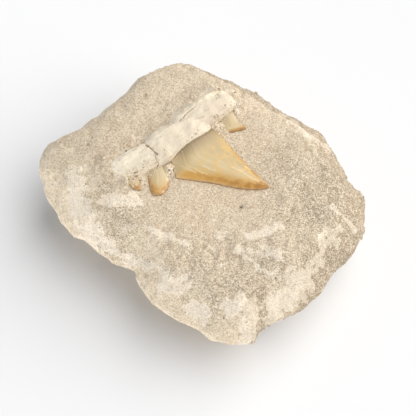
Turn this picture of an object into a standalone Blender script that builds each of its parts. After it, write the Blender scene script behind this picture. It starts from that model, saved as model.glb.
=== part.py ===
"""Fossil shark tooth lying in its block of sandy matrix, at real size.

The block stands on its flat broken base. The tooth lies on its back in a pocket in the top face:
a thick bar of root, a slanting triangular crown and three small side cusplets, all one natural piece.

Lengths below are in millimetres, and MM turns them into the scene's metres.
+X is the block's long side, +Z is up, and the origin is the middle of the base.
"""

import math
from functools import lru_cache

import bmesh
import bpy
import numpy as np
from mathutils import Matrix, Vector, noise

MM = 0.001

# ---- The block of matrix ----------------------------------------------------------------------
BOX_MIDDLE = Vector((-2.17, -0.07))  # middle of the block's box in the plan used below
PLAN_MIDDLE = Vector((0.0, 3.0))  # every point of the rim is seen from here
TOP_HEIGHT = 33.0  # height of the top face at its highest
DOME_MIDDLE = Vector((-6.0, 12.0))
DOME_REACH = 60.0  # distance from the dome's middle at which the top has fallen by DOME_FALL
DOME_FALL = 4.5
RIM_HEIGHT, RIM_RISE = 21.0, 1.0  # the rim is the widest line round the block, higher at the back
SHOULDER_WIDTH, SHOULDER_EXTRA = 9.0, 3.0  # slope between top face and rim, wider at the front
SHOULDER_POWER = 1.25  # 1 is a flat chamfer, 2 is a quarter round
UNDERCUT, UNDERCUT_EXTRA = 10.0, 1.5  # the base lies this far inside the rim, more at the front
UNDERCUT_POWER = 1.3  # 1 is a straight slope under the rim, higher is more bellied
RIM_WANDER, UNDERCUT_WANDER = 6.0, 5.0  # how much the rim's height and the undercut vary round it
WANDER_TURNS = 1.3  # higher varies more often

# Corners of the rim seen from above, anticlockwise from the right-hand end.
RIM = (
    (54.5, 0.0), (51.5, 6.0), (47.0, 12.5), (44.5, 18.5), (40.0, 25.0), (33.5, 30.0), (26.0, 34.0),
    (15.5, 40.5), (8.0, 45.0), (0.5, 48.0), (-4.5, 51.0), (-10.0, 53.0), (-17.5, 50.5),
    (-24.5, 47.0), (-38.0, 33.5), (-48.0, 24.5), (-56.0, 19.5), (-58.0, 14.5), (-56.5, 4.0),
    (-48.0, -11.5), (-40.5, -17.0), (-30.5, -23.5), (-25.5, -26.5), (-22.0, -34.0), (-14.0, -43.0),
    (-5.0, -46.5), (3.0, -51.5), (13.5, -53.0), (17.0, -50.0), (20.5, -45.5), (33.0, -38.5),
    (42.0, -27.5), (51.5, -16.5), (53.5, -8.0),
)

# Low swells and hollows of the top face: x, y, reach, height.
SWELLS = (
    (-42.0, 6.0, 9.0, 1.0), (-33.0, 36.0, 9.0, -0.8), (-12.0, 43.0, 8.0, 0.8),
    (31.0, -14.0, 9.0, -0.9), (38.0, 6.0, 10.0, 0.7), (-16.0, -20.0, 8.0, 1.0),
    (6.0, -28.0, 10.0, -0.8), (24.0, -28.0, 8.0, 0.9),
)

# Flat breaks: azimuth and upward slope of the break's normal in degrees, and its distance from
# BREAK_MIDDLE. What stands proud of a break is pressed back towards it.
BREAK_MIDDLE = Vector((0.0, 2.0, 14.0))
BREAKS = (
    (-135.0, 52.0, 38.0), (-95.0, 50.0, 42.0), (-50.0, 50.0, 43.0), (-12.0, 50.0, 42.5),
    (36.0, 48.0, 43.0), (70.0, 46.0, 46.0), (118.0, 44.0, 49.0), (168.0, 50.0, 48.0),
    (-155.0, -26.0, 48.5), (-100.0, -34.0, 39.5), (-60.0, -24.0, 47.5), (-25.0, -36.0, 44.5),
    (15.0, -20.0, 48.5), (58.0, -30.0, 41.5), (98.0, -18.0, 47.5), (130.0, -34.0, 45.5),
    (178.0, -30.0, 53.0),
)
BREAK_STRENGTH = 0.75

# Wavelength and height of the swells of the broken surface.
ROUGHNESS = ((24.0, 1.2), (9.0, 0.7), (4.5, 0.3))
NOISE_SEED = 7  # 0 would take the clock
FIRM_HEIGHT = 5.0  # below this the roughness fades out, so that the base stays flat
CALM_SHARE = 0.85  # share of the roughness that is missing round the tooth
BLOCK_SEGMENTS, BLOCK_RINGS = 84, 38
FLAT_WEIGHT = 0.25  # share of the rings' usual closeness that the flat base has

# ---- The tooth --------------------------------------------------------------------------------
TOOTH_PLACE = Vector((-4.5, 11.7, 33.0))  # middle of the neck, on the matrix
TOOTH_TURN = 36.0  # degrees from +X to the root's long axis
TOOTH_TILT = 3.0  # degrees that the tip dips
# The matrix lies in the tooth's own plane up to the first distance from the neck, and has its natural
# surface from the second.
BED_REACH = (22.0, 44.0)
POCKET_GAP = 0.35

# The tooth's own frame: x along the root, -y towards the tip, z up out of the matrix.
# Root sections: x, y, z of the middle, half width across, half height.
ROOT_NEAR = (
    (-26.0, 9.6, 0.8, 1.2, 1.0), (-25.3, 9.2, 0.8, 3.0, 2.5), (-23.0, 8.2, 0.9, 4.2, 3.5),
    (-18.5, 7.4, 1.0, 4.7, 4.1), (-13.6, 6.6, 1.0, 4.8, 4.3), (-12.0, 6.5, 1.2, 5.0, 4.6),
    (-9.0, 7.0, 1.4, 5.6, 5.1), (-3.0, 6.9, 1.5, 5.2, 5.2), (2.5, 6.3, 1.4, 4.6, 5.0),
    (6.5, 5.9, 1.1, 3.8, 4.3), (9.0, 5.6, 0.6, 2.4, 3.0), (9.8, 5.4, 0.2, 0.9, 1.6),
)
ROOT_FAR = (
    (-4.0, 9.2, 0.2, 1.0, 1.2), (-2.0, 9.5, 0.6, 2.4, 3.2), (2.0, 9.8, 0.9, 3.8, 4.4),
    (8.0, 9.6, 1.2, 4.8, 4.8), (14.0, 9.5, 1.1, 5.2, 4.4), (18.5, 9.3, 0.8, 4.6, 3.8),
    (21.6, 8.9, 0.5, 3.0, 2.8), (22.8, 8.6, 0.3, 1.2, 1.0),
)
ROOT_SQUARENESS = 2.5  # 2 is an ellipse, higher is boxier
ROOT_RINGS, ROOT_POINTS = 24, 22

# Cutting edges of the crown from the neck to the tip, as x, y.
CROWN_LEFT = (
    (-10.0, 5.5), (-11.2, 0.5), (-11.2, -2.4), (-10.6, -5.0), (-7.8, -8.0), (-5.0, -10.8),
    (-1.5, -14.2), (3.7, -20.0), (8.1, -23.6), (12.0, -25.6),
)
CROWN_RIGHT = (
    (9.0, 6.0), (10.2, 3.0), (10.8, 0.2), (10.4, -4.6), (10.1, -9.0), (10.5, -15.3), (11.0, -19.0),
    (12.3, -25.2),
)
CROWN_BULGE, CROWN_DEPTH = 3.8, 3.2  # thickness above and below the cutting edges at the neck
EDGE_HEIGHT = 0.25  # the cutting edges lie this far above the matrix
CROWN_RINGS, CROWN_POINTS = 18, 20

# Side cusplets: the two cutting edges as for the crown, then bulge and depth at the neck.
CUSPLETS = {
    "near": (
        ((-17.0, 4.0), (-18.4, 0.6), (-20.0, -2.2), (-20.7, -4.6), (-20.0, -6.2)),
        ((-12.4, 2.6), (-14.0, -1.0), (-14.2, -4.4), (-15.4, -6.6), (-17.8, -7.4)),
        2.4, 2.2,
    ),
    "end": (
        ((-24.2, 6.6), (-24.8, 4.0), (-25.1, 1.6), (-24.2, -0.8)),
        ((-20.4, 4.4), (-21.2, 1.6), (-22.2, -0.8), (-22.9, -2.0)),
        1.6, 1.6,
    ),
    "far": (
        ((13.6, 7.0), (13.8, 3.0), (13.7, 0.4), (14.4, -1.4), (16.4, -2.2), (18.6, -3.2)),
        ((19.8, 7.0), (19.2, 3.6), (18.6, 1.2), (19.2, -0.4), (19.4, -1.8), (19.3, -3.0)),
        2.3, 2.0,
    ),
}
CUSPLET_RINGS, CUSPLET_POINTS = 9, 14
TIP_THICKNESS = 0.12  # share of the thickness left at a tip

MATERIALS = {
    "sandy_matrix": ((0.70, 0.60, 0.46, 1.0), 0.95),
    "fossil_tooth": ((0.80, 0.66, 0.42, 1.0), 0.45),
}


def curve_through(points, per_span, closed=False):
    """A smooth Catmull-Rom line through the points, as an array of per_span steps for each span."""
    points = np.array(points, float)
    if closed:
        knots = np.concatenate([points[-1:], points, points[:2]])
    else:
        knots = np.concatenate([2 * points[:1] - points[1:2], points, 2 * points[-1:] - points[-2:-1]])
    t = np.linspace(0, 1, per_span, endpoint=False)[:, None]
    spans = [
        0.5 * (2 * b + (c - a) * t + (2 * a - 5 * b + 4 * c - d) * t**2 + (3 * b - 3 * c + d - a) * t**3)
        for a, b, c, d in zip(knots, knots[1:], knots[2:], knots[3:])
    ]
    return np.concatenate(spans if closed else spans + [points[-1:]])


def even_steps(line, count, weights=None):
    """count points spread evenly along a line of points, with its stretches counted by weights."""
    steps = np.linalg.norm(np.diff(line, axis=0), axis=1) * (1.0 if weights is None else weights)
    along = np.concatenate([[0.0], np.cumsum(steps)])
    wanted = np.linspace(0, along[-1], count)
    return np.stack([np.interp(wanted, along, line[:, k]) for k in range(line.shape[1])], axis=1)


def rim_by_azimuth():
    """The rim as two arrays, azimuth from PLAN_MIDDLE and distance, sorted by azimuth."""
    line = curve_through(RIM, 8, closed=True) - np.array(PLAN_MIDDLE)
    azimuth = np.arctan2(line[:, 1], line[:, 0])
    order = np.argsort(azimuth)
    return azimuth[order], np.hypot(line[:, 0], line[:, 1])[order]


RIM_AZIMUTHS, RIM_DISTANCES = rim_by_azimuth()


def smooth_step(x):
    x = min(max(x, 0.0), 1.0)
    return x * x * (3 - 2 * x)


def away_from_tooth(place):
    """0 round the tooth's neck and 1 where the matrix has its natural surface."""
    start, end = BED_REACH
    return smooth_step(((place - TOOTH_PLACE.xy).length - start) / (end - start))


def top_height(place):
    """Height of the top face at a place in the plan, before its roughness."""
    height = TOP_HEIGHT - DOME_FALL * ((place - DOME_MIDDLE).length / DOME_REACH) ** 2
    for x, y, reach, swell in SWELLS:
        height += swell * math.exp(-(((place - Vector((x, y))).length / reach) ** 2))
    turn = math.radians(TOOTH_TURN)
    from_neck = place - TOOTH_PLACE.xy
    towards_tip = from_neck.dot(Vector((math.sin(turn), -math.cos(turn))))
    bed = TOOTH_PLACE.z - towards_tip * math.tan(math.radians(TOOTH_TILT))
    return bed + (height - bed) * away_from_tooth(place)


@lru_cache(maxsize=None)
def block_profile(azimuth):
    """Points (distance, height) from the middle of the top over the rim to the middle of the base."""
    backness = math.sin(azimuth)
    outward = Vector((math.cos(azimuth), math.sin(azimuth)))
    rim = float(np.interp(azimuth, RIM_AZIMUTHS, RIM_DISTANCES, period=2 * math.pi))
    rim_wander = RIM_WANDER * noise.noise((outward * WANDER_TURNS).to_3d())
    undercut_wander = UNDERCUT_WANDER * noise.noise((outward * WANDER_TURNS * 1.7).to_3d())
    rim_height = RIM_HEIGHT + RIM_RISE * backness + rim_wander
    shoulder = SHOULDER_WIDTH - SHOULDER_EXTRA * backness
    inset = UNDERCUT - UNDERCUT_EXTRA * backness + undercut_wander
    level = np.linspace(0, rim - shoulder, 40)
    slope = rim - shoulder * np.linspace(1, 0, 30)[1:] ** 1.5  # closer steps towards the rim
    line = []
    for distance in np.concatenate([level, slope]):
        share = max(0.0, 1 - (rim - distance) / shoulder)
        fullness = (1 - share**SHOULDER_POWER) ** (1 / SHOULDER_POWER)
        top = top_height(PLAN_MIDDLE + outward * float(distance))
        line.append((distance, rim_height + (top - rim_height) * fullness))
    for share in np.linspace(0, 1, 20)[1:]:
        line.append((rim - inset * share**UNDERCUT_POWER, rim_height * (1 - share)))
    line.append((0.0, 0.0))
    weights = np.ones(len(line) - 1)
    weights[-1] = FLAT_WEIGHT
    return even_steps(np.array(line), BLOCK_RINGS + 1, weights)


def pressed_back(point):
    """The point pressed back towards each flat break that it stands proud of."""
    for azimuth, slope, distance in BREAKS:
        normal = Matrix.Rotation(math.radians(azimuth), 3, "Z") @ Vector(
            (math.cos(math.radians(slope)), 0.0, math.sin(math.radians(slope)))
        )
        proud = (point - BREAK_MIDDLE).dot(normal) - distance
        if proud > 0:
            point = point - normal * (proud * BREAK_STRENGTH)
    return point


def roughened(point):
    """The point moved as the stone's broken surface moves it, and less so near the tooth."""
    calm = 1 - away_from_tooth(point.xy) if point.z > RIM_HEIGHT else 0.0
    strength = smooth_step(point.z / FIRM_HEIGHT) * (1 - CALM_SHARE * calm)
    for wavelength, height in ROUGHNESS:
        point = point + noise.noise_vector(point / wavelength) * (height * strength)
    return point


def block_mesh():
    """A UV sphere whose rings are moved onto the block's profile at each azimuth."""
    mesh = bmesh.new()
    bmesh.ops.create_uvsphere(mesh, u_segments=BLOCK_SEGMENTS, v_segments=BLOCK_RINGS, radius=1.0)
    for vertex in mesh.verts:
        azimuth = round(math.atan2(vertex.co.y, vertex.co.x), 5)
        ring = round(math.acos(max(-1.0, min(1.0, vertex.co.z))) / math.pi * BLOCK_RINGS)
        distance, height = block_profile(azimuth)[ring]
        place = PLAN_MIDDLE + Vector((math.cos(azimuth), math.sin(azimuth))) * distance
        smooth = Vector((place.x, place.y, height))
        point = roughened(pressed_back(smooth))
        point.z = max(point.z, 0.0) if height > 0 else 0.0
        vertex.co = (point - BOX_MIDDLE.to_3d()) * MM
    return mesh


def loft(rings):
    """A closed mesh through rings of points, with each end closed by a flat face."""
    mesh = bmesh.new()
    rows = [[mesh.verts.new(Vector(point) * MM) for point in ring] for ring in rings]
    for row, following in zip(rows, rows[1:]):
        for k in range(len(row)):
            after = (k + 1) % len(row)
            mesh.faces.new((row[k], row[after], following[after], following[k]))
    mesh.faces.new(rows[0])
    mesh.faces.new(reversed(rows[-1]))
    bmesh.ops.recalc_face_normals(mesh, faces=mesh.faces)
    return mesh


def root_rings(sections, grow):
    """Boxy oval sections along one lobe of the root."""
    power = 2 / ROOT_SQUARENESS
    rings = []
    for x, y, z, half_width, half_height in even_steps(curve_through(sections, 8), ROOT_RINGS):
        ring = []
        for angle in np.linspace(0, 2 * math.pi, ROOT_POINTS, endpoint=False):
            across, up = math.cos(angle), math.sin(angle)
            ring.append((
                x,
                y + (half_width + grow) * math.copysign(abs(across) ** power, across),
                z + (half_height + grow) * math.copysign(abs(up) ** power, up),
            ))
        rings.append(ring)
    return rings


def blade_rings(left, right, bulge, depth, ring_count, point_count, grow):
    """Lens sections between two cutting edges, thinning from the neck to the tip."""
    left_edge = even_steps(curve_through(left, 8), ring_count)
    right_edge = even_steps(curve_through(right, 8), ring_count)
    rings = []
    for k, (a, b) in enumerate(zip(left_edge, right_edge)):
        share = k / (ring_count - 1)
        thinning = TIP_THICKNESS + (1 - TIP_THICKNESS) * math.sqrt(1 - share)
        outward = (b - a) / np.linalg.norm(b - a) * grow
        middle, half = (a + b) / 2, (b - a) / 2 + outward
        ring = []
        for angle in np.linspace(0, 2 * math.pi, point_count, endpoint=False):
            across, up = math.cos(angle), math.sin(angle)
            x, y = middle + half * across
            height = (bulge * thinning + grow) if up > 0 else (depth * thinning + grow)
            ring.append((x, y, EDGE_HEIGHT + height * math.copysign(abs(up) ** 1.3, up)))
        rings.append(ring)
    return rings


def tooth_lofts(grow):
    """The root, the crown and the cusplets as meshes, each grown outwards by grow."""
    made = {
        "root_near": loft(root_rings(ROOT_NEAR, grow)),
        "root_far": loft(root_rings(ROOT_FAR, grow)),
        "crown": loft(blade_rings(
            CROWN_LEFT, CROWN_RIGHT, CROWN_BULGE, CROWN_DEPTH, CROWN_RINGS, CROWN_POINTS, grow
        )),
    }
    for name, (left, right, bulge, depth) in CUSPLETS.items():
        made[f"cusplet_{name}"] = loft(
            blade_rings(left, right, bulge, depth, CUSPLET_RINGS, CUSPLET_POINTS, grow)
        )
    return made


def new_collection(name):
    collection = bpy.data.collections.new(name)
    bpy.context.scene.collection.children.link(collection)
    return collection


def new_object(name, bm, collection):
    data = bpy.data.meshes.new(name)
    bm.to_mesh(data)
    bm.free()
    made = bpy.data.objects.new(name, data)
    collection.objects.link(made)
    return made


def new_material(name):
    colour, roughness = MATERIALS[name]
    material = bpy.data.materials.new(name)
    material.use_nodes = True
    shader = material.node_tree.nodes["Principled BSDF"]
    shader.inputs["Base Color"].default_value = colour
    shader.inputs["Roughness"].default_value = roughness
    return material


def combine(target, operation, other):
    """Adds a Boolean modifier to target, and hides the other object."""
    modifier = target.modifiers.new(f"{operation.lower()}_{other.name}", "BOOLEAN")
    modifier.operation = operation
    modifier.solver = "EXACT"
    modifier.object = other
    other.hide_render = True
    other.display_type = "WIRE"


def body_of(start):
    """All vertices that are joined by edges to the one given."""
    found, waiting = {start}, [start]
    while waiting:
        for edge in waiting.pop().link_edges:
            for vertex in edge.verts:
                if vertex not in found:
                    found.add(vertex)
                    waiting.append(vertex)
    return found


def without_crumbs(target):
    """Applies the object's modifiers, and leaves out the crumbs that its cuts leave loose."""
    evaluated = target.evaluated_get(bpy.context.evaluated_depsgraph_get())
    data = bpy.data.meshes.new_from_object(evaluated)
    mesh = bmesh.new()
    mesh.from_mesh(data)
    bodies = []
    left = set(mesh.verts)
    while left:
        bodies.append(body_of(next(iter(left))))
        left -= bodies[-1]
    largest = max(bodies, key=len)
    bmesh.ops.delete(mesh, geom=[v for v in mesh.verts if v not in largest], context="VERTS")
    mesh.to_mesh(data)
    mesh.free()
    target.modifiers.clear()
    target.data = data


def place_tooth_piece(piece):
    piece.location = (TOOTH_PLACE - BOX_MIDDLE.to_3d()) * MM
    piece.rotation_euler = (math.radians(TOOTH_TILT), 0.0, math.radians(TOOTH_TURN))


def main():
    noise.seed_set(NOISE_SEED)
    for old in list(bpy.data.objects):
        bpy.data.objects.remove(old)
    parts = new_collection("fossil_shark_tooth")
    helpers = new_collection("cutters")

    tooth = None
    for name, bm in tooth_lofts(0.0).items():
        is_root = name == "root_near"
        piece = new_object("shark_tooth" if is_root else name, bm, parts if is_root else helpers)
        place_tooth_piece(piece)
        if is_root:
            tooth = piece
        else:
            combine(tooth, "UNION", piece)
    tooth.data.materials.append(new_material("fossil_tooth"))

    block = new_object("matrix_stone", block_mesh(), parts)
    block.data.materials.append(new_material("sandy_matrix"))
    for name, bm in tooth_lofts(POCKET_GAP).items():
        cutter = new_object(f"pocket_{name}", bm, helpers)
        place_tooth_piece(cutter)
        combine(block, "DIFFERENCE", cutter)
    without_crumbs(block)


main()
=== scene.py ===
"""Fossil shark tooth in its block of sandy matrix: the detailed surfaces, materials, light and camera.

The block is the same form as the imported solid, remeshed finely and roughened into broken sandstone. Loose
sand grains and crumbs lie on it. The tooth is one closed mesh of root, crown and cusplets, with cracks,
pores and striae. Places on the block are in millimetres in its own plan, and MM turns them into metres.
"""

import math
from functools import lru_cache

import bmesh
import bpy
import numpy as np
from mathutils import Euler, Matrix, Vector, noise
from mathutils.bvhtree import BVHTree


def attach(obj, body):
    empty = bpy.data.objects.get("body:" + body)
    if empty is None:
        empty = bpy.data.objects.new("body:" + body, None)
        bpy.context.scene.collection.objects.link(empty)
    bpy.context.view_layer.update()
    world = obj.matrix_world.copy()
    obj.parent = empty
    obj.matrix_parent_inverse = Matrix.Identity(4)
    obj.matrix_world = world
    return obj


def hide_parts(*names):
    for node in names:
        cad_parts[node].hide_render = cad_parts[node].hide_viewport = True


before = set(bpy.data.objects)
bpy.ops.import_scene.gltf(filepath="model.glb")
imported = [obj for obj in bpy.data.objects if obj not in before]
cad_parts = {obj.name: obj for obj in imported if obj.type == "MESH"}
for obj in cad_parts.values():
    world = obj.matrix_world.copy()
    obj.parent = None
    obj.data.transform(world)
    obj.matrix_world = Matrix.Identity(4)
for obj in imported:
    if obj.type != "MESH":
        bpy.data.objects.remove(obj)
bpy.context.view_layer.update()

MM = 0.001
SEED = 7

# ---- Form of the block, as in the solid ----
BOX_MIDDLE = Vector((-2.17, -0.07))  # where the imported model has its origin
PLAN_MIDDLE = Vector((0.0, 3.0))  # where the profiles of every azimuth meet
TOP_HEIGHT = 33.0
DOME_MIDDLE = Vector((-6.0, 12.0))
DOME_REACH = 60.0
DOME_FALL = 4.5
# The rim and the widths of shoulder and undercut change from the front of the block to its back.
RIM_HEIGHT, RIM_RISE = 21.0, 1.0
SHOULDER_WIDTH, SHOULDER_EXTRA = 9.0, 3.0
SHOULDER_POWER = 1.25
UNDERCUT, UNDERCUT_EXTRA = 10.0, 1.5
UNDERCUT_POWER = 1.3
RIM_WANDER, UNDERCUT_WANDER = 6.0, 5.0
WANDER_TURNS, UNDERCUT_TURNS = 1.3, 1.7
# The widest line of the block in the plan.
RIM = (
    (54.5, 0), (51.5, 6), (47, 12.5), (44.5, 18.5), (40, 25), (33.5, 30), (26, 34),
    (15.5, 40.5), (8, 45), (0.5, 48), (-4.5, 51), (-10, 53), (-17.5, 50.5),
    (-24.5, 47), (-38, 33.5), (-48, 24.5), (-56, 19.5), (-58, 14.5), (-56.5, 4),
    (-48, -11.5), (-40.5, -17), (-30.5, -23.5), (-25.5, -26.5), (-22, -34), (-14, -43),
    (-5, -46.5), (3, -51.5), (13.5, -53), (17, -50), (20.5, -45.5), (33, -38.5),
    (42, -27.5), (51.5, -16.5), (53.5, -8),
)
# Swells and hollows of the top: x, y, reach, height.
SWELLS = (
    (-42, 6, 9, 1), (-33, 36, 9, -0.8), (-12, 43, 8, 0.8),
    (31, -14, 9, -0.9), (38, 6, 10, 0.7), (-16, -20, 8, 1),
    (6, -28, 10, -0.8), (24, -28, 8, 0.9),
)
BREAK_MIDDLE = Vector((0.0, 2.0, 14.0))
# Flat breaks: azimuth, slope and distance from BREAK_MIDDLE.
BREAKS = (
    (-135, 52, 38), (-95, 50, 42), (-50, 50, 43), (-12, 50, 42.5),
    (36, 48, 43), (70, 46, 46), (118, 44, 49), (168, 50, 48),
    (-155, -26, 48.5), (-100, -34, 39.5), (-60, -24, 47.5), (-25, -36, 44.5),
    (15, -20, 48.5), (58, -30, 41.5), (98, -18, 47.5), (130, -34, 45.5),
    (178, -30, 53),
)
BREAK_STRENGTH = 0.75
ROUGHNESS = ((24.0, 1.2), (9.0, 0.7), (4.5, 0.3))  # wavelength and height
FIRM_HEIGHT = 5.0  # below this the roughness fades, so that the base stays flat
CALM_SHARE = 0.85  # of the roughness, taken away round the tooth
FLAT_WEIGHT = 0.25  # the base has this share of the rings that its length would give it
TOP_STEPS, SHOULDER_STEPS, SIDE_STEPS = 40, 30, 20

TOOTH_PLACE = Vector((-4.5, 11.7, 33.0))
TOOTH_TURN = 36.0
TOOTH_TILT = 3.0
BED_REACH, BED_FADE = 22.0, 22.0  # the matrix follows the tooth's tilt so far, and then has its own form

# ---- Form of the tooth, as in the solid ----
# Sections along each lobe of the root: x, y, z, half width, half height.
ROOT_NEAR = (
    (-26.9, 8.9, 0.6, 0.5, 0.5), (-26.5, 8.8, 0.7, 1.9, 1.5), (-25.6, 8.7, 0.8, 3.2, 2.6),
    (-24, 8.4, 0.9, 4.2, 3.5), (-22, 7.9, 0.9, 4.6, 3.9), (-18.5, 7.3, 1, 4.9, 4.2),
    (-13.6, 6.6, 1, 5, 4.4), (-12, 6.5, 1.2, 5.1, 4.6), (-9, 7, 1.4, 5.6, 5.1),
    (-3, 6.9, 1.5, 5.2, 5.2), (2.5, 6.3, 1.4, 4.6, 5), (6.5, 5.9, 1.1, 3.8, 4.3),
    (9, 5.6, 0.6, 2.4, 3), (9.8, 5.4, 0.2, 0.9, 1.6),
)
ROOT_FAR = (
    (-4, 9.2, 0.2, 1, 1.2), (-2, 9.5, 0.6, 2.4, 3.2), (2, 9.8, 0.9, 3.8, 4.4),
    (8, 9.6, 1.2, 4.8, 4.8), (14, 9.5, 1.1, 5.2, 4.4), (18.5, 9.5, 0.8, 4.9, 3.8),
    (21.2, 9.3, 0.5, 3.8, 3), (22.8, 9, 0.3, 1.8, 1.2),
)
ROOT_SQUARENESS = 2.5
# The ridge along each lobe's back: x, y, how far below the lobe's top; then the slopes before and behind it.
NEAR_RIDGE = (
    (-26, 9.8, 0.9), (-23, 10.2, 0.5), (-18, 9.6, 0.3), (-13.2, 8.8, 0.4), (-12.4, 10.1, 0.2),
    (-7, 10, 0.3), (-2.3, 9.4, 0.3), (1, 9.6, 0.3), (4.4, 8.7, 0.3), (9, 7.6, 0.5),
)
FAR_RIDGE = (
    (-3, 11, 0.6), (1, 11.2, 0.4), (4.7, 11.5, 0.3), (9.2, 11.3, 0.3), (13.4, 10.6, 0.3),
    (17.9, 9.2, 0.4), (22, 8.6, 0.9),
)
FRONT_SLOPE, BACK_SLOPE = 0.24, 0.36
ROOT_EASING = 40  # rounds of smoothing that round off the root's edges
ROOT_RELIEF = ((5.5, 0.42), (2.2, 0.26), (0.7, 0.06))  # wavelength and height
GROOVE_DEPTH = 0.16
FIBRE_STRETCH = 0.14  # the width of the bone's fibres over their length in x
MAIN_CRACK, CRACK_STEP = -12.9, 0.4  # x of the main crack, and how much lower the root lies to its left
ENAMEL_BORDER = 0.3  # width over which bone turns to enamel
STRIA_DEPTH, BLADE_SWELL, STREAK_DEPTH = 0.02, 0.06, 0.04
NECK_DEPTH, NECK_WIDTH = 0.25, 0.6  # the groove of the enamel along the root
EDGE_HEIGHT = 0.25
EDGE_LINE = 0.24  # width of the darker line along each cutting edge
LENS_POWER = 1.3
TIP_THICKNESS = 0.12  # as a share of the thickness at the neck
# Left cutting edge, right cutting edge, bulge and depth of each blade.
BLADES = {
    "crown": (
        (
            (-8.8, 5.5), (-8.8, 1), (-9.6, -1.6), (-10.6, -3.7), (-10.7, -5.2), (-7.8, -8), (-5, -10.8),
            (-1.5, -14.2), (3.7, -20), (8.1, -23.6), (12, -25.6),
        ),
        (
            (9, 6), (10, 3), (10.5, 0.2), (10.6, -4.6), (10.8, -9), (11.2, -15.3),
            (11.6, -19), (12.3, -25.2),
        ),
        3.8, 3.2,
    ),
    "near": (
        ((-16.8, 4), (-18.1, 1.2), (-19.3, -0.8), (-20.3, -3.2), (-20.9, -5.4)),
        (
            (-11.8, 2.6), (-12.5, -0.6), (-13, -2.8), (-13.4, -4.4), (-14.6, -5.3), (-15.2, -6.3),
            (-16.9, -6.9), (-18.4, -7.3), (-19.6, -6.6), (-20.7, -5.8),
        ),
        1.4, 2.2,
    ),
    "end": (
        ((-24, 6.6), (-24.8, 3.6), (-25.3, 1.6), (-24.6, -0.3), (-23.5, -1.9)),
        ((-20.6, 4.4), (-21.4, 1.8), (-22.3, -0.4), (-22.8, -1.9)),
        0.6, 1.6,
    ),
    "far": (
        ((13.6, 7), (13.6, 3), (13.2, 0.6), (13.6, -0.8), (15.4, -1.8), (17.4, -2.5), (19.2, -3.2)),
        ((20.4, 7), (20, 4.4), (19, 2), (18.6, 0.4), (18.9, -1.2), (19.6, -2.7)),
        1.5, 2,
    ),
}

# ---- Fineness ----
BLOCK_SEGMENTS, BLOCK_RINGS = 320, 150
BLOCK_VOXEL = 0.6
ROOT_RINGS, ROOT_POINTS = 90, 64
BLADE_RINGS, BLADE_POINTS = 80, 56
TOOTH_VOXEL = 0.22
SPAN_STEPS = 8  # steps of a curve between two of its points

# ---- Marks on the block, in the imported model's plan ----
# Chalky patches and veins: a line through each, its reach to either side, and its strength.
CHALK = (
    (((-42.5, 0.9), (-41, -5.3), (-37.6, -13.4), (-35, -16)), 4.1, 0.85),
    (((-44.2, 6.3), (-39.3, 5.1)), 1.7, 0.6),
    (((-32.1, -6.5), (-19.5, -7.6)), 2.4, 0.8),
    (((-38.5, -15.3), (-32.3, -17.5), (-25.6, -22.5), (-19.4, -26.3), (-13.3, -30.5)), 1.4, 0.9),
    (((-12.6, -34.7), (-6.2, -35.9)), 2.8, 0.95),
    (((-18, -15.6), (-11.5, -19.8), (-3.6, -23.2)), 1.3, 0.75),
    (((-22.2, -6.2), (-18.2, -9)), 1.2, 0.45),
    (((-3.6, -41.3), (0.2, -42.3), (1.5, -44.1)), 2.2, 1),
    (((9.2, -43), (15.5, -42.2), (14.9, -47.5), (14.3, -51)), 3.2, 0.9),
    (((33.2, -32.5), (29.2, -36.5), (25.3, -40.4), (23.4, -42.6)), 4.4, 0.82),
    (((31.5, -33.4), (34.6, -32.6)), 1.9, 1),
    (((29.1, -31.1), (34.5, -28.3), (38.6, -25.7)), 1.4, 0.75),
    (((39.6, -21.4), (42.2, -18.4)), 2.7, 1),
    (((42.2, -18.4), (43.8, -16.6), (44.9, -14.8)), 1.6, 1),
    (((11.2, -24.6), (13.8, -26.4), (16.6, -29.1), (17.2, -31.5)), 1.2, 0.85),
    (((16.6, -29.1), (21.4, -32.7), (24.6, -31.5)), 0.9, 0.85),
    (((20.9, -23.8), (24.1, -25.4), (25, -28.2)), 1.4, 0.75),
    (((15.5, -19.6), (19.1, -18.8), (23.7, -17.3)), 2, 0.8),
    (((21.8, -15.8), (25, -15.8)), 1.8, 0.85),
    (((4.8, -18.8), (9.3, -20.2)), 1.3, 0.5),
    (((3.5, -23.7), (4.7, -27.1), (6.7, -29.9)), 0.8, 0.65),
    (((43.2, -6.9), (45.1, -9.7), (48.7, -10.5)), 0.9, 0.9),
    (((49.4, -10.8), (50.9, -13.2)), 1.2, 0.9),
    (((28.3, 26.4), (33.6, 21.7), (39.9, 19.1), (44.4, 17.8)), 2.4, 0.55),
    (((15.7, -23.7), (19.6, -26.6), (24.4, -24.7)), 0.9, 0.55),
)
# Greyer, coarser zones and warmer, smoother zones: x, y, reach, strength.
GREY_ZONES = (
    (36, -9, 15, 1), (11, -33, 10, 1), (22, -28, 9, 1), (-26.5, -14, 9, 1),
    (4, -42, 4.5, 1), (34, 2, 9, 1), (-2, -30, 10, 0.8),
)
WARM_ZONES = (
    (-2, -12, 12, 1), (1, -17, 7, 1), (19, 16, 10, 1), (15, 26, 9, 1),
    (8, -6.5, 9, 1), (-28, 14, 7, 1),
)
# Darker zones, most along the right side where the key light falls brightest, partly browner stone and partly
# painted shade: x, y, reach, strength.
DIM_AND_SHADE_ZONES = (
    (49.5, -6, 9, 1), (51.5, -15, 8, 1), (46, 4, 8, 1), (42, -29, 9, 1),
    (44, 13, 5, 1), (36, -9, 6, 0.8), (25, 8, 9, 0.3), (3, -32, 9, 0.25),
    (-26, -13, 8, 0.3),
)
# The hole is painted black: painted shade in it.
PIT = (13.0, -8.9, 0.42)  # a dark hole left by a grain: x, y, radius

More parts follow.
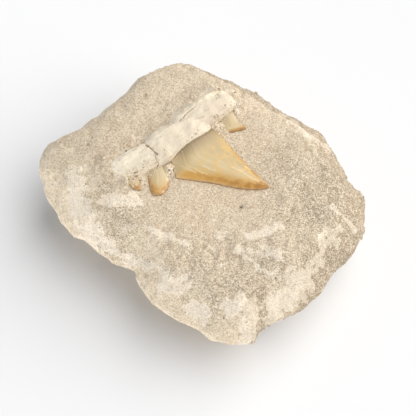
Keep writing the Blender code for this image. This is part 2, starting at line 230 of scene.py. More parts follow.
# ---- Marks on the tooth, in its own frame ----
# Cracks of the root: line, half width, depth.
ROOT_CRACKS = (
    (((-13.3, 9.6), (-13.2, 8.9), (-12.8, 7.1), (-12.5, 5.1), (-12.3, 4.4)), 0.15, 0.5),
    (((-13.5, 9.3), (-13, 8.3)), 0.3, 0.6),
    (((-12.5, 5.2), (-12.2, 4.3)), 0.24, 0.5),
    (((-13.2, 4), (-13.5, 2.6), (-13.4, 1.2)), 0.16, 0.35),
    (((-12.6, 4.4), (-13.2, 4)), 0.08, 0.2),
    (((0.4, 9.6), (1.6, 10.3), (3.2, 10.8), (4.7, 11.1), (6.4, 11.2), (8.2, 11.4)), 0.18, 0.36),
    (((5.2, 7.6), (7, 7.2), (8.8, 6.9)), 0.14, 0.2),
    (((12, 11.9), (15.6, 11.7), (18.8, 11)), 0.1, 0.12),
    (((-22.4, 9.5), (-20.3, 9.7), (-17.4, 9.5)), 0.1, 0.12),
    (((-19.3, 8.8), (-16.4, 8.9)), 0.1, 0.1),
    (((-8.5, 8), (-2.8, 7.6), (3, 7.1)), 0.08, 0.06),
)
DARK_DEPTH = 0.5  # cracks at least this deep are as dark as they get
# Pores of the root: x, y, radius.
ROOT_PORES = (
    (17.3, 6.7, 0.42), (2.5, 10.4, 0.4), (2.6, 3, 0.34), (-20.9, 3.4, 0.28), (-17.6, 2.7, 0.25),
    (-23.6, 4.3, 0.2), (-21.8, 3.4, 0.24), (-19.3, 2.9, 0.2), (-16, 2.6, 0.22), (-14.6, 2.2, 0.22),
    (3.9, 3.7, 0.26), (1.9, 3.2, 0.2), (0.6, 2.7, 0.34), (-1.6, 2.5, 0.2), (11.8, 4.8, 0.4),
    (13, 4.7, 0.36), (9.6, 4.2, 0.38),
)
PORE_DARKNESS, PORE_STEEPNESS = 0.55, 1.1
SPARE_PORES = 22
SPARE_PORE_SPANS = ((-24, 20), (2.5, 12), (0.12, 0.24))  # of their x, y and radius
# Pale lines of the enamel, each a shallow groove, and then its white chips: line, half width.
ENAMEL_MARKS = (
    (((-1.9, -7.3), (-0.8, -9.7), (0.5, -11.4)), 0.17),
    (((-4.6, -6.5), (-3.7, -8.7), (-2.5, -10.4)), 0.16),
    (((5.7, -13.3), (7.2, -15.7), (8.2, -18.3), (9.1, -20.4), (10.3, -22.2)), 0.2),
    (((-7.9, -2.6), (-6.6, -5.3), (-5.2, -7.9)), 0.12),
    (((-3.2, -2), (-2.2, -5)), 0.08),
    (((3.2, -8.6), (4.6, -12.6)), 0.09),
    (((6.9, -13.6), (8.3, -16.6)), 0.1),
    (((9.8, -15.2), (10.8, -17)), 0.3),
    (((11.2, -22.2), (11.4, -23.1)), 0.3),
    (((-17.5, -6.9), (-17, -7.3)), 0.35),
    (((-13.8, -3.4), (-14, -4.2)), 0.3),
)
STRIAE_COUNTS = {"crown": 46, "near": 15, "end": 10, "far": 13}  # across each blade
# How far the amber colour reaches in from the left and right cutting edges, where along the blade it fills
# the tip, over what share of the length it does, and where the edges begin to turn amber.
AMBER = {
    "crown": (5.4, 1.8, 0.86, 0.16, 0.15), "near": (1.2, 2.6, 0.64, 0.5, 0.3),
    "end": (0.9, 0.6, 0.66, 0.3, 0.35), "far": (1.4, 0.3, 0.85, 0.3, 0.45),
}

# ---- Light and camera ----
CAMERA_TARGET = Vector((2.17, 0.07, 14.0))
CAMERA_ELEVATION = 62.0
CAMERA_DISTANCE = 400.0
CAMERA_LENS = 100.0
FLOOR_HALF = 6.0  # in metres, half the side of the table top
SKY_COLOUR = (0.8, 0.95, 1.15, 1.0)
SKY_STRENGTH = 0.3
KEY_STRENGTH, KEY_SPREAD = 5.3, 90.0
KEY_COLOUR = (1.0, 0.951, 0.888)
KEY_FROM = Vector((1.04, 0.24, 1.0))
FILL_STRENGTH, FILL_SPREAD = 3.7, 60.0
FILL_FROM = Vector((-0.72, -0.68, -0.2))
FILL_COLOUR = (1.0, 0.98, 0.96)
LEVEL_LIGHT = 1.28  # light on a level face: a surface of 1 / LEVEL_LIGHT there looks just white


def colour(red, green, blue):
    """The surface colour that looks so, in screen values of 0 to 255, on a level face in the studio."""
    linear = []
    for value in (red, green, blue):
        share = value / 255
        light = share / 12.92 if share <= 0.04045 else ((share + 0.055) / 1.055) ** 2.4  # the sRGB curve
        linear.append(light / LEVEL_LIGHT)
    return (*linear, 1.0)


# ---- Lines and steps ----
def curve_through(points, closed=False):
    """A smooth Catmull-Rom line through the points, as an array of SPAN_STEPS steps for each span."""
    points = np.array(points, float)
    if closed:
        knots = np.concatenate([points[-1:], points, points[:2]])
    else:
        knots = np.concatenate([2 * points[:1] - points[1:2], points, 2 * points[-1:] - points[-2:-1]])
    t = np.linspace(0, 1, SPAN_STEPS, endpoint=False)[:, None]
    spans = [
        0.5 * (2 * b + (c - a) * t + (2 * a - 5 * b + 4 * c - d) * t**2 + (3 * b - 3 * c + d - a) * t**3)
        for a, b, c, d in zip(knots, knots[1:], knots[2:], knots[3:])
    ]
    return np.concatenate(spans if closed else spans + [points[-1:]])


def even_steps(line, count, weights=None):
    """count points spread evenly along a line of points, with its stretches counted by weights."""
    steps = np.linalg.norm(np.diff(line, axis=0), axis=1) * (1.0 if weights is None else weights)
    along = np.concatenate([[0.0], np.cumsum(steps)])
    wanted = np.linspace(0, along[-1], count)
    return np.stack([np.interp(wanted, along, line[:, k]) for k in range(line.shape[1])], axis=1)


def smooth_step(x, start=0.0, span=1.0):
    """0 at start and 1 at start + span, with a smooth rise between them and no change beyond."""
    x = np.clip((x - start) / span, 0.0, 1.0)
    return x * x * (3 - 2 * x)


def gap_from(places, x, y):
    """Distance in the plan from each place to a point."""
    return np.hypot(places[:, 0] - x, places[:, 1] - y)


def distance_to_line(places, line):
    """Distance in the plan from each place to a line of points."""
    nearest = np.full(len(places), np.inf)
    corners = np.array(line, float)
    for start, end in zip(corners, corners[1:]):
        along = end - start
        share = np.clip((places[:, :2] - start) @ along / (along @ along), 0.0, 1.0)
        gap = np.linalg.norm(places[:, :2] - start - share[:, None] * along, axis=1)
        nearest = np.minimum(nearest, gap)
    return nearest


def noise_at(points, wavelength, shift=0.0):
    """Smooth noise of -1 to 1 at each point."""
    return np.array([noise.noise(Vector(p) / wavelength + Vector((shift, shift, shift))) for p in points])


def plan_noise(points, wavelength, reach, *shifts):
    """Noise of up to reach in x and y at each point, for marks that wander."""
    return np.stack([noise_at(points, wavelength, shift) for shift in shifts], axis=1) * reach


# ---- The block ----
def rim_by_azimuth():
    """The rim as two arrays, azimuth from PLAN_MIDDLE and distance, sorted by azimuth."""
    line = curve_through(RIM, closed=True) - np.array(PLAN_MIDDLE)
    azimuth = np.arctan2(line[:, 1], line[:, 0])
    order = np.argsort(azimuth)
    return azimuth[order], np.hypot(line[:, 0], line[:, 1])[order]


RIM_AZIMUTHS, RIM_DISTANCES = rim_by_azimuth()


def away_from_tooth(place):
    """0 round the tooth's neck and 1 where the matrix has its natural surface."""
    return float(smooth_step((place - TOOTH_PLACE.xy).length, BED_REACH, BED_FADE))


def top_height(place):
    """Height of the top face at a place in the plan, before its roughness."""
    height = TOP_HEIGHT - DOME_FALL * ((place - DOME_MIDDLE).length / DOME_REACH) ** 2
    for x, y, reach, swell in SWELLS:
        height += swell * math.exp(-(((place - Vector((x, y))).length / reach) ** 2))
    turn = math.radians(TOOTH_TURN)
    towards_tip = (place - TOOTH_PLACE.xy).dot(Vector((math.sin(turn), -math.cos(turn))))
    bed = TOOTH_PLACE.z - towards_tip * math.tan(math.radians(TOOTH_TILT))
    return bed + (height - bed) * away_from_tooth(place)


@lru_cache(maxsize=None)
def block_profile(azimuth):
    """Points (distance, height) from the middle of the top over the rim to the middle of the base."""
    backness = math.sin(azimuth)
    outward = Vector((math.cos(azimuth), math.sin(azimuth)))
    rim = float(np.interp(azimuth, RIM_AZIMUTHS, RIM_DISTANCES, period=2 * math.pi))
    rim_wander = RIM_WANDER * noise.noise((outward * WANDER_TURNS).to_3d())
    undercut_wander = UNDERCUT_WANDER * noise.noise((outward * WANDER_TURNS * UNDERCUT_TURNS).to_3d())
    rim_height = RIM_HEIGHT + RIM_RISE * backness + rim_wander
    shoulder = SHOULDER_WIDTH - SHOULDER_EXTRA * backness
    inset = UNDERCUT - UNDERCUT_EXTRA * backness + undercut_wander
    level = np.linspace(0, rim - shoulder, TOP_STEPS)
    slope = rim - shoulder * np.linspace(1, 0, SHOULDER_STEPS)[1:] ** 1.5
    line = []
    for distance in np.concatenate([level, slope]):
        share = max(0.0, 1 - (rim - distance) / shoulder)
        fullness = (1 - share**SHOULDER_POWER) ** (1 / SHOULDER_POWER)
        top = top_height(PLAN_MIDDLE + outward * float(distance))
        line.append((distance, rim_height + (top - rim_height) * fullness))
    for share in np.linspace(0, 1, SIDE_STEPS)[1:]:
        line.append((rim - inset * share**UNDERCUT_POWER, rim_height * (1 - share)))
    line.append((0.0, 0.0))
    weights = np.ones(len(line) - 1)
    weights[-1] = FLAT_WEIGHT
    return even_steps(np.array(line), BLOCK_RINGS + 1, weights)


def pressed_back(point):
    """The point pressed back towards each flat break that it stands proud of."""
    for azimuth, slope, distance in BREAKS:
        normal = Matrix.Rotation(math.radians(azimuth), 3, "Z") @ Vector(
            (math.cos(math.radians(slope)), 0.0, math.sin(math.radians(slope)))
        )
        proud = (point - BREAK_MIDDLE).dot(normal) - distance
        if proud > 0:
            point = point - normal * (proud * BREAK_STRENGTH)
    return point


def roughened(point):
    """The point moved as the stone's broken surface moves it, and less so near the tooth."""
    calm = 1 - away_from_tooth(point.xy) if point.z > RIM_HEIGHT else 0.0
    strength = float(smooth_step(point.z / FIRM_HEIGHT)) * (1 - CALM_SHARE * calm)
    for wavelength, height in ROUGHNESS:
        point = point + noise.noise_vector(point / wavelength) * (height * strength)
    return point


def block_form():
    """A UV sphere whose rings are moved onto the block's profile at each azimuth, in millimetres."""
    mesh = bmesh.new()
    bmesh.ops.create_uvsphere(mesh, u_segments=BLOCK_SEGMENTS, v_segments=BLOCK_RINGS, radius=1.0)
    for vertex in mesh.verts:
        azimuth = round(math.atan2(vertex.co.y, vertex.co.x), 5)
        ring = round(math.acos(max(-1.0, min(1.0, vertex.co.z))) / math.pi * BLOCK_RINGS)
        distance, height = block_profile(azimuth)[ring]
        place = PLAN_MIDDLE + Vector((math.cos(azimuth), math.sin(azimuth))) * distance
        smooth = Vector((place.x, place.y, height))
        point = roughened(pressed_back(smooth))
        point.z = max(point.z, 0.0) if height > 0 else 0.0
        vertex.co = point
    return mesh


# ---- Meshes ----
def new_object(name, data):
    made = bpy.data.objects.new(name, data)
    bpy.context.scene.collection.objects.link(made)
    return made


def remeshed(name, mesh, voxel):
    """The bmesh's solids as one closed mesh of even faces."""
    rough = bpy.data.meshes.new(name)
    mesh.to_mesh(rough)
    mesh.free()
    helper = new_object(f"{name}_form", rough)
    modifier = helper.modifiers.new("even_faces", "REMESH")
    modifier.mode = "VOXEL"
    modifier.voxel_size = voxel
    evaluated = helper.evaluated_get(bpy.context.evaluated_depsgraph_get())
    data = bpy.data.meshes.new_from_object(evaluated)
    data.name = name
    bpy.data.objects.remove(helper)
    return data


def vectors_of(data, kind):
    """The mesh's points, as kind "co", or their normals, as kind "normal"."""
    vectors = np.empty(len(data.vertices) * 3, dtype=np.float32)
    data.vertices.foreach_get(kind, vectors)
    return vectors.reshape(-1, 3).astype(float)


def move_points(data, points):
    data.vertices.foreach_set("co", np.asarray(points, float).ravel())
    data.update()


def add_values(data, values):
    """Puts values by name on the mesh's points, for the materials."""
    for name, value in values.items():
        layer = data.attributes.new(name, "FLOAT", "POINT")
        layer.data.foreach_set("value", np.asarray(value, dtype=np.float32))


def add_vectors(data, name, values):
    layer = data.attributes.new(name, "FLOAT_VECTOR", "POINT")
    layer.data.foreach_set("vector", np.asarray(values, dtype=np.float32).ravel())


def tree_of(data):
    """A search tree over a mesh's faces."""
    corners = [vertex.co.copy() for vertex in data.vertices]
    return BVHTree.FromPolygons(corners, [tuple(face.vertices) for face in data.polygons])


# ---- The tooth ----
def loft(mesh, rings):
    """Adds a closed skin through rings of points to the bmesh."""
    rows = [[mesh.verts.new(Vector(point)) for point in ring] for ring in rings]
    for row, following in zip(rows, rows[1:]):
        for k in range(len(row)):
            after = (k + 1) % len(row)
            mesh.faces.new((row[k], row[after], following[after], following[k]))
    mesh.faces.new(rows[0])
    mesh.faces.new(reversed(rows[-1]))


def round_steps(count):
    """The cosine and sine of even angles round a ring."""
    return [(math.cos(a), math.sin(a)) for a in np.linspace(0, 2 * math.pi, count, endpoint=False)]


def powered(value, power):
    """value raised to a power, with its sign kept."""
    return math.copysign(abs(value) ** power, value)


def root_rings(sections):
    """Boxy oval sections along one lobe of the root."""
    power = 2 / ROOT_SQUARENESS
    return [
        [
            (x, y + half_width * powered(across, power), z + half_height * powered(up, power))
            for across, up in round_steps(ROOT_POINTS)
        ]
        for x, y, z, half_width, half_height in even_steps(curve_through(sections), ROOT_RINGS)
    ]


def blade_edges(name):
    """The left and right cutting edges in even steps from the neck to the tip."""
    return [even_steps(curve_through(edge), BLADE_RINGS) for edge in BLADES[name][:2]]


def blade_rings(name):
    """Lens sections between two cutting edges, thinning from the neck to the tip."""
    _, _, bulge, depth = BLADES[name]
    rings = []
    for k, (a, b) in enumerate(zip(*blade_edges(name))):
        thinning = TIP_THICKNESS + (1 - TIP_THICKNESS) * math.sqrt(1 - k / (BLADE_RINGS - 1))
        middle, half = (a + b) / 2, (b - a) / 2
        ring = []
        for across, up in round_steps(BLADE_POINTS):
            height = (bulge if up > 0 else depth) * thinning
            ring.append((*(middle + half * across), EDGE_HEIGHT + height * powered(up, LENS_POWER)))
        rings.append(ring)
    return rings


def form_of(all_rings):
    mesh = bmesh.new()
    for rings in all_rings:
        loft(mesh, rings)
    bmesh.ops.recalc_face_normals(mesh, faces=mesh.faces)
    return mesh


def form_tree(all_rings):
    """A search tree over the skins' faces."""
    form = form_of(all_rings)
    tree = BVHTree.FromBMesh(form)
    form.free()
    return tree


def blade_coordinates(places, name):
    """Share from neck to tip, share from left to right edge, and width there, of each place on a blade."""
    left, right = blade_edges(name)
    span = right - left
    from_left = places[:, None, :2] - left[None, :, :]
    beyond = span[None, :, 0] * from_left[:, :, 1] - span[None, :, 1] * from_left[:, :, 0]
    after = np.argmax(beyond > 0, axis=1)
    after[~(beyond > 0).any(axis=1)] = len(left) - 1
    before = np.maximum(after - 1, 0)
    rows = np.arange(len(places))
    low, high = beyond[rows, before], beyond[rows, after]
    blend = np.clip(np.where(high != low, -low / np.where(high != low, high - low, 1), 0.0), 0.0, 1.0)
    along = (before + blend * (after - before)) / (len(left) - 1)
    start = left[before] + (left[after] - left[before]) * blend[:, None]
    reach = span[before] + (span[after] - span[before]) * blend[:, None]
    width = np.linalg.norm(reach, axis=1)
    across = ((places[:, :2] - start) * reach).sum(axis=1) / width**2
    return along, np.clip(across, 0.0, 1.0), width


def under_ridge(points, sections, ridge):
    """Height that a lobe's long faces allow at each point: one slopes to the crown and one to the back."""
    sections, ridge = np.array(sections), np.array(ridge)
    x = points[:, 0]
    top = np.interp(x, sections[:, 0], sections[:, 2] + sections[:, 4])
    middle = np.interp(x, ridge[:, 0], ridge[:, 1]) + 0.6 * noise_at(points * (1, 0, 0), 3.2, 5.0)
    ridge_height = top - np.interp(x, ridge[:, 0], ridge[:, 2])
    ridge_height += 0.35 * noise_at(points * (1, 0.4, 0), 3.6, 11.0)
    before = middle - points[:, 1]
    return ridge_height - np.where(before > 0, FRONT_SLOPE * before, -BACK_SLOPE * before)


def nearest_gaps(points, tree):
    """Distance from each point to the tree's surface, and the face nearest to it."""
    gaps, faces = np.empty(len(points)), np.empty(len(points), int)
    for k, point in enumerate(points):
        _, _, faces[k], gaps[k] = tree.find_nearest(Vector(point))
    return gaps, faces


def eased(data, points, share, rounds):
    """The points drawn towards the mean of their neighbours, by each one's share, to round off edges."""
    ends = np.empty(len(data.edges) * 2, dtype=np.int32)
    data.edges.foreach_get("vertices", ends)
    first, second = ends.reshape(-1, 2).T
    total = len(points)
    neighbours = np.bincount(first, minlength=total) + np.bincount(second, minlength=total)
    for _ in range(rounds):
        sums = [np.bincount(first, p[second], total) + np.bincount(second, p[first], total) for p in points.T]
        mean = np.stack(sums, axis=1) / neighbours[:, None]
        points = points + (mean - points) * (0.5 * share)[:, None]
    return points


def blade_values(points, which):
    """The values that colour the enamel, by name. which is the number of the blade nearest to each point."""
    values = {name: np.zeros(len(points)) for name in ("along", "across", "stria", "amber", "rim_line")}
    for k, blade in enumerate(BLADES):
        here = which == k
        left_reach, right_reach, tip_from, tip_fade, edge_from = AMBER[blade]
        along, across, width = blade_coordinates(points[here], blade)
        onward = smooth_step(along, edge_from, 0.2)
        left = smooth_step(1.1 - across * width / (left_reach * (0.45 + 0.55 * onward)))
        right = smooth_step(1.1 - (1 - across) * width / right_reach)
        tip = smooth_step((along - tip_from) / tip_fade + 0.5)
        edges = np.maximum(left * (0.15 + 0.85 * onward), right * smooth_step(along, edge_from + 0.07, 0.3))
        values["along"][here] = along
        values["across"][here] = across
        values["stria"][here] = across * STRIAE_COUNTS[blade]
        values["amber"][here] = np.maximum(edges, tip)
        values["rim_line"][here] = smooth_step(1.2 - np.minimum(across, 1 - across) * width / EDGE_LINE)
    return values


def root_marks(wandering, bare):
    """How dark cracks and pores make the root, and how deep they are. bare is 1 on the upper bone only."""
    random = np.random.default_rng(SEED)
    pores = list(ROOT_PORES)
    for _ in range(SPARE_PORES):
        pores.append([random.uniform(*span) for span in SPARE_PORE_SPANS])
    marks = [
        (distance_to_line(wandering, line) / half_width, min(1.0, depth / DARK_DEPTH), depth)
        for line, half_width, depth in ROOT_CRACKS
    ]
    marks += [
        (gap_from(wandering, x, y) / radius, PORE_DARKNESS, PORE_STEEPNESS * radius)
        for x, y, radius in pores
    ]
    darkness, sink = np.zeros(len(bare)), np.zeros(len(bare))
    for gap, dark, depth in marks:
        near = smooth_step(1.5 - gap) * bare
        darkness = np.maximum(darkness, near * dark)
        sink = np.maximum(sink, near * depth)
    return darkness, sink


def dust_values(points, enamel, on_blade, values):
    """How much dust of the matrix lies on the tooth: low down, on half-buried corners and on cusplets."""
    x, y, z = points.T
    along, bone = values["along"], 1 - enamel
    before = 1 - smooth_step(y, 8.5, 2.0)
    low_height = 1.4 + 1.8 * bone * before * (0.5 + 0.5 * noise_at(points, 2.4, 23.0))
    far_neck = 0.85 * (1 - smooth_step(along, 0.3, 0.25))
    far_side = 0.75 * smooth_step(values["across"], 0.55, 0.3) * (1 - smooth_step(along, 0.75, 0.15))
    return np.max([
        1 - smooth_step(z, -0.2, low_height),
        on_blade["crown"] * smooth_step(1.3 - gap_from(points, -9.5, -0.5) / 3.2),
        on_blade["near"] * enamel * 0.6 * (1 - smooth_step(along, 0.15, 0.35)),
        on_blade["end"] * enamel * (1 - 0.75 * values["amber"]),
        on_blade["far"] * enamel * np.maximum(far_neck, far_side),
        0.8 * bone * smooth_step(x, 19.0, 3.5),
        0.6 * bone * smooth_step(x, -24.6, -1.8) * smooth_step(y, 8.5, -3.0),
    ], axis=0)


def tooth_data():
    """The tooth's mesh in its own frame, in millimetres, with the values that colour it."""
    lobes = [root_rings(ROOT_NEAR), root_rings(ROOT_FAR)]
    blades = [blade_rings(name) for name in BLADES]
    data = remeshed("shark_tooth_fossil", form_of(lobes + blades), TOOTH_VOXEL)
    points, normals = vectors_of(data, "co"), vectors_of(data, "normal")

    from_root, _ = nearest_gaps(points, form_tree(lobes))
    from_blade, face = nearest_gaps(points, form_tree(blades))
    enamel = np.clip(0.5 + (from_root - from_blade) / ENAMEL_BORDER, 0.0, 1.0)
    faces_per_blade = (BLADE_RINGS - 1) * BLADE_POINTS + 2
    which = np.minimum(face // faces_per_blade, len(BLADES) - 1)
    on_blade = {name: which == k for k, name in enumerate(BLADES)}
    values = blade_values(points, which)

    upper = smooth_step(normals[:, 2], -0.1, 0.4)
    bare = upper * (1 - enamel)
    wandering = points[:, :2] + plan_noise(points, 1.1, 0.18, 3.0, 9.0)
    values["crack"], sink = root_marks(wandering, bare)
    streak = upper * enamel * np.max([
        smooth_step(1.4 - distance_to_line(wandering, line) / half_width)
        for line, half_width in ENAMEL_MARKS
    ], axis=0)

    near_gaps, far_gaps = (nearest_gaps(points, form_tree([lobe]))[0] for lobe in lobes)
    allowed = np.where(
        near_gaps < far_gaps,
        under_ridge(points, ROOT_NEAR, NEAR_RIDGE),
        under_ridge(points, ROOT_FAR, FAR_RIDGE),
    )
    over = np.clip(points[:, 2] - allowed, 0.0, 2.5) * bare

    fibre = points * np.array([FIBRE_STRETCH, 1.0, 1.0])
    grooves = GROOVE_DEPTH * noise_at(fibre, 0.9) + 0.1 * noise_at(fibre, 0.42, 13.0)
    root_height = sum(height * noise_at(points, wavelength) for wavelength, height in ROOT_RELIEF)
    root_height += grooves - sink
    root_height -= CRACK_STEP * (1 - smooth_step(points[:, 0], MAIN_CRACK, 0.3)) * upper
    striae = np.stack([values.pop("stria"), values["along"] * 0.5, which * 7.3], axis=1)
    blade_height = STRIA_DEPTH * noise_at(striae, 1.0) + BLADE_SWELL * noise_at(points, 3.5)
    blade_height -= STREAK_DEPTH * streak + NECK_DEPTH * smooth_step(1.2 - from_root / NECK_WIDTH) * upper
    height = root_height * (1 - enamel) + blade_height * enamel
    # Only the part above the matrix is worked: the buried part keeps its plain form.
    height *= smooth_step(points[:, 2], -2.5, 1.5)
    points[:, 2] -= over * smooth_step(points[:, 2], -1.0, 1.5)
    points = eased(data, points, 1 - enamel, ROOT_EASING)
    move_points(data, points)
    points = points + vectors_of(data, "normal") * height[:, None]
    move_points(data, points)

    # Painted shade below the root: strongest on the crown to the right of x = -8.5, faint elsewhere.
    neck_shade_weight = 0.15 + 0.85 * smooth_step(points[:, 0], -8.5, 5.0) * on_blade["crown"]
    values.update({
        "enamel": enamel,
        "streak": streak,
        "groove": np.clip(-grooves / GROOVE_DEPTH, -1.0, 1.0),
        # The grey band of the enamel at the neck, partly painted shade of the root, and the painted shadow
        # right under the root.
        "neck": smooth_step(1.15 - from_root / 5.0) * neck_shade_weight,
        "root_shadow": np.exp(-from_root / 0.9) * (0.35 + 0.65 * neck_shade_weight),
        "cusplet": ~on_blade["crown"] * enamel,
        "low": dust_values(points, enamel, on_blade, values),
    })
    add_values(data, values)
    add_vectors(data, "striae", striae)
    add_vectors(data, "own_place", points)
    return data


TOOTH_MATRIX = Matrix.LocRotScale(
    TOOTH_PLACE - BOX_MIDDLE.to_3d(),
    Euler((math.radians(TOOTH_TILT), 0.0, math.radians(TOOTH_TURN))),
    None,
)
TOOTH_AXES = np.array(TOOTH_MATRIX.to_3x3())
TOOTH_ORIGIN = np.array(TOOTH_MATRIX.translation)


def from_tooth_frame(points):
    """Points of the tooth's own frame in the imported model's frame."""
    return points @ TOOTH_AXES.T + TOOTH_ORIGIN


def to_tooth_frame(points):
    return (points - TOOTH_ORIGIN) @ TOOTH_AXES


# ---- Surface of the block ----
FINE_RELIEF = ((6.0, 0.34), (3.0, 0.22), (1.5, 0.12))  # wavelength and height
# Flat chips of the broken sides: their size, how much they step in and out, and how wide the steps are.
CHIP_SIZE, CHIP_STEP, CHIP_EDGE = 8.0, 0.5, 0.16
# Small flat breaks that clip the shoulders and sides.
FACET_STEEPNESS = 0.82  # breaks lie where the surface's normal has a smaller part upwards than this
FACET_FLOOR = 1.5
FACET_TRIES, FACET_GAP = 6000, 6.0
FACET_REACH, FACET_FADE = 9.0, 4.0
FACET_DEPTH = (0.1, 0.7)
FACET_LEAN = 0.13
FACET_LIMIT = 1.0  # the most that a break cuts away
LAYER_THICKNESS, LAYER_LENGTH, LAYER_STEP, LAYER_BEND = 1.5, 26.0, 0.35, 1.6
PIT_DEPTH, PIT_SPACING, HOLE_DEPTH = 0.55, 2.3, 1.1
HOLLOW_DEPTH, HOLLOW_SPACING, HOLLOW_LIMIT = 0.6, 4.0, 34.0  # hollows of the base, inside its edge
CALM_REACH, CALM_FADE, CALM_RELIEF = 16.0, 22.0, 0.55  # round the neck the surface is smoother
SPARED_BEYOND = 26.0  # the high edge at the back, beyond this y and height, is hardly cut
ROOT_EDGE, ROOT_BANK = 2.6, 1.5  # matrix banks up by ROOT_BANK against the root, beyond y = ROOT_EDGE
# How far from the tooth's surface banks reach: in front, and behind the root.
BANK_REACH, BACK_BANK_REACH = 1.9, 3.0
# Only matrix so near the neck, so near the tooth's surface and so high is bedded.
BED_LIMIT, TOOTH_SEARCH, BED_FLOOR = 40.0, 6.0, RIM_HEIGHT + 4
SINK, SINK_SLOPE, SINK_LIMIT = 0.35, 0.8, 1.4  # how far the matrix under the tooth is pushed down
CONTACT_REACH, HALO_REACH = 0.8, 2.2
# Banks of crumbly matrix against the tooth, in its own frame: x, y, reach, height.
BANKS = (
    (-24.5, 13.5, 4.5, 1.6), (-17, 13, 5, 2), (-6, 13.2, 5, 1.2), (6, 14.5, 5, 1.2),
    (16, 15, 5, 1.2), (11.8, 3.2, 1.9, 3), (-11.2, -1, 1.6, 2), (-27, 7, 2.5, 0.8),
    (-23.2, 2.6, 1.6, 1.7), (-20.6, 1.2, 0.9, 1.2), (12.6, 0.2, 1, 0.8), (-21, 3.4, 2.2, 1),
    (24.2, 9.8, 3, 2.4), (20.4, 4.6, 1.6, 1.4),
)
# How the edges of chalk and zones wander: wavelength, reach, and the shifts of the noise in x and y.
MARK_DRIFTS = ((4.0, 1.56, 41.0, 53.0), (1.6, 0.65, 47.0, 59.0))


def chip_steps(points):
    """Flat chips that step in and out, as broken sandstone has on its sides."""
    steps = np.empty(len(points))
    for k, point in enumerate(points):
        gaps, cells = noise.voronoi(Vector(point) / CHIP_SIZE)
        firm = float(smooth_step(gaps[1] - gaps[0], 0.0, CHIP_EDGE))
        steps[k] = CHIP_STEP * noise.noise(cells[0] * 3.7) * firm
    return steps


def with_facets(points, normals, random):
    """The points of the shoulders and sides cut back to small flat breaks that meet in sharp ridges."""
    steep = np.flatnonzero((normals[:, 2] < FACET_STEEPNESS) & (points[:, 2] > FACET_FLOOR))
    middles = []
    for k in random.permutation(steep)[:FACET_TRIES]:
        if all(np.linalg.norm(points[k] - points[m]) > FACET_GAP for m in middles):
            middles.append(k)
    cut = points.copy()
    for k in middles:
        normal = normals[k] + random.normal(0.0, FACET_LEAN, 3)
        normal /= np.linalg.norm(normal)
        offset = cut - points[k]
        near = np.flatnonzero((offset**2).sum(axis=1) < FACET_REACH**2)
        depth = random.uniform(*FACET_DEPTH)
        proud = np.maximum(offset[near] @ normal + depth, 0.0)
        fading = smooth_step((FACET_REACH - np.linalg.norm(offset[near], axis=1)) / FACET_FADE)
        _, y, z = points[near].T
        spared = smooth_step(y, SPARED_BEYOND, 7) * smooth_step(z, SPARED_BEYOND, 4)
        cut[near] -= (proud * fading * (1 - 0.9 * spared))[:, None] * normal
    moved = cut - points
    depth = np.linalg.norm(moved, axis=1)[:, None]
    return points + moved * (FACET_LIMIT * (1 - np.exp(-depth / FACET_LIMIT)) / np.maximum(depth, 1e-6))


def layer_steps(points):
    """Thin lying layers that weather in and out."""
    x, y, z = points.T
    bent = z + LAYER_BEND * noise_at(points, LAYER_LENGTH / 2, 5.0)
    layered = np.stack([x / LAYER_LENGTH, y / LAYER_LENGTH, bent / LAYER_THICKNESS], axis=1)
    return LAYER_STEP * noise_at(layered, 1.0)


def zone_values(points, zones):
    """The strongest of round, fading zones at each point in the plan."""
    return np.max([
        strength * np.exp(-((gap_from(points, x, y) / reach) ** 2)) for x, y, reach, strength in zones
    ], axis=0)


def block_relief(plan, sideways, calm, hole):
    """How far the surface stands out at each point: swells, pits, chips and layers, and the one hole."""
    relief = sum(height * noise_at(plan, wavelength) for wavelength, height in FINE_RELIEF)
    relief = relief - PIT_DEPTH * smooth_step(noise_at(plan, PIT_SPACING, 17.0), 0.34, 0.3)
    relief *= 1 - CALM_RELIEF * calm
    relief += sideways * (1 - calm) * (chip_steps(plan) + layer_steps(plan))
    return relief - HOLE_DEPTH * hole


def bed_tooth(raised, plan, from_neck, tooth_tree):
    """Sinks the matrix below the tooth and banks it up against the tooth's sides, in place.

    Gives how close the tooth is at each point, and how dusty the bank is.
    """
    local = to_tooth_frame(raised)
    bank = zone_values(local, BANKS)
    contact, halo = np.zeros(len(raised)), np.zeros(len(raised))
    rough, patchy = noise_at(plan, 1.2, 29.0), noise_at(plan, 5.0, 31.0)
    for k in np.flatnonzero((from_neck < BED_LIMIT) & (plan[:, 2] > BED_FLOOR)):
        point = Vector(raised[k])
        nearest, normal, _, gap = tooth_tree.find_nearest(point, TOOTH_SEARCH)
        if nearest is None:
            continue
        if (point - nearest).dot(normal) < 0:
            raised[k, 2] -= min(SINK_LIMIT, SINK + SINK_SLOPE * gap)
            continue
        contact[k] = math.exp(-gap / CONTACT_REACH)
        reach = BANK_REACH
        if local[k, 1] > ROOT_EDGE:
            bank[k] = max(bank[k], ROOT_BANK * (1 + 1.2 * patchy[k]))
            halo[k] = math.exp(-gap / HALO_REACH)
            reach = BACK_BANK_REACH
        lift = bank[k] * math.exp(-gap / reach) * (1 + 0.9 * rough[k])
        # Beside the enamel the matrix is worked away down to the cutting edge.
        proud = max(0.0, local[k, 2] + 0.1) * math.exp(-gap / 1.2) * (local[k, 1] < 4)
        groove = 0.16 * math.exp(-((gap / 0.3) ** 2)) * max(0.0, 0.2 + 2 * rough[k])
        raised[k, 2] += lift - (proud + groove) * math.exp(-bank[k] / 0.3)
    raised[:, 2] = np.maximum(raised[:, 2], 0.0)
    bank_dust = np.clip(bank / 1.2, 0.0, 1.0) * np.maximum(contact, 0.25)
    return contact, np.maximum(0.8 * bank_dust, 0.85 * halo)


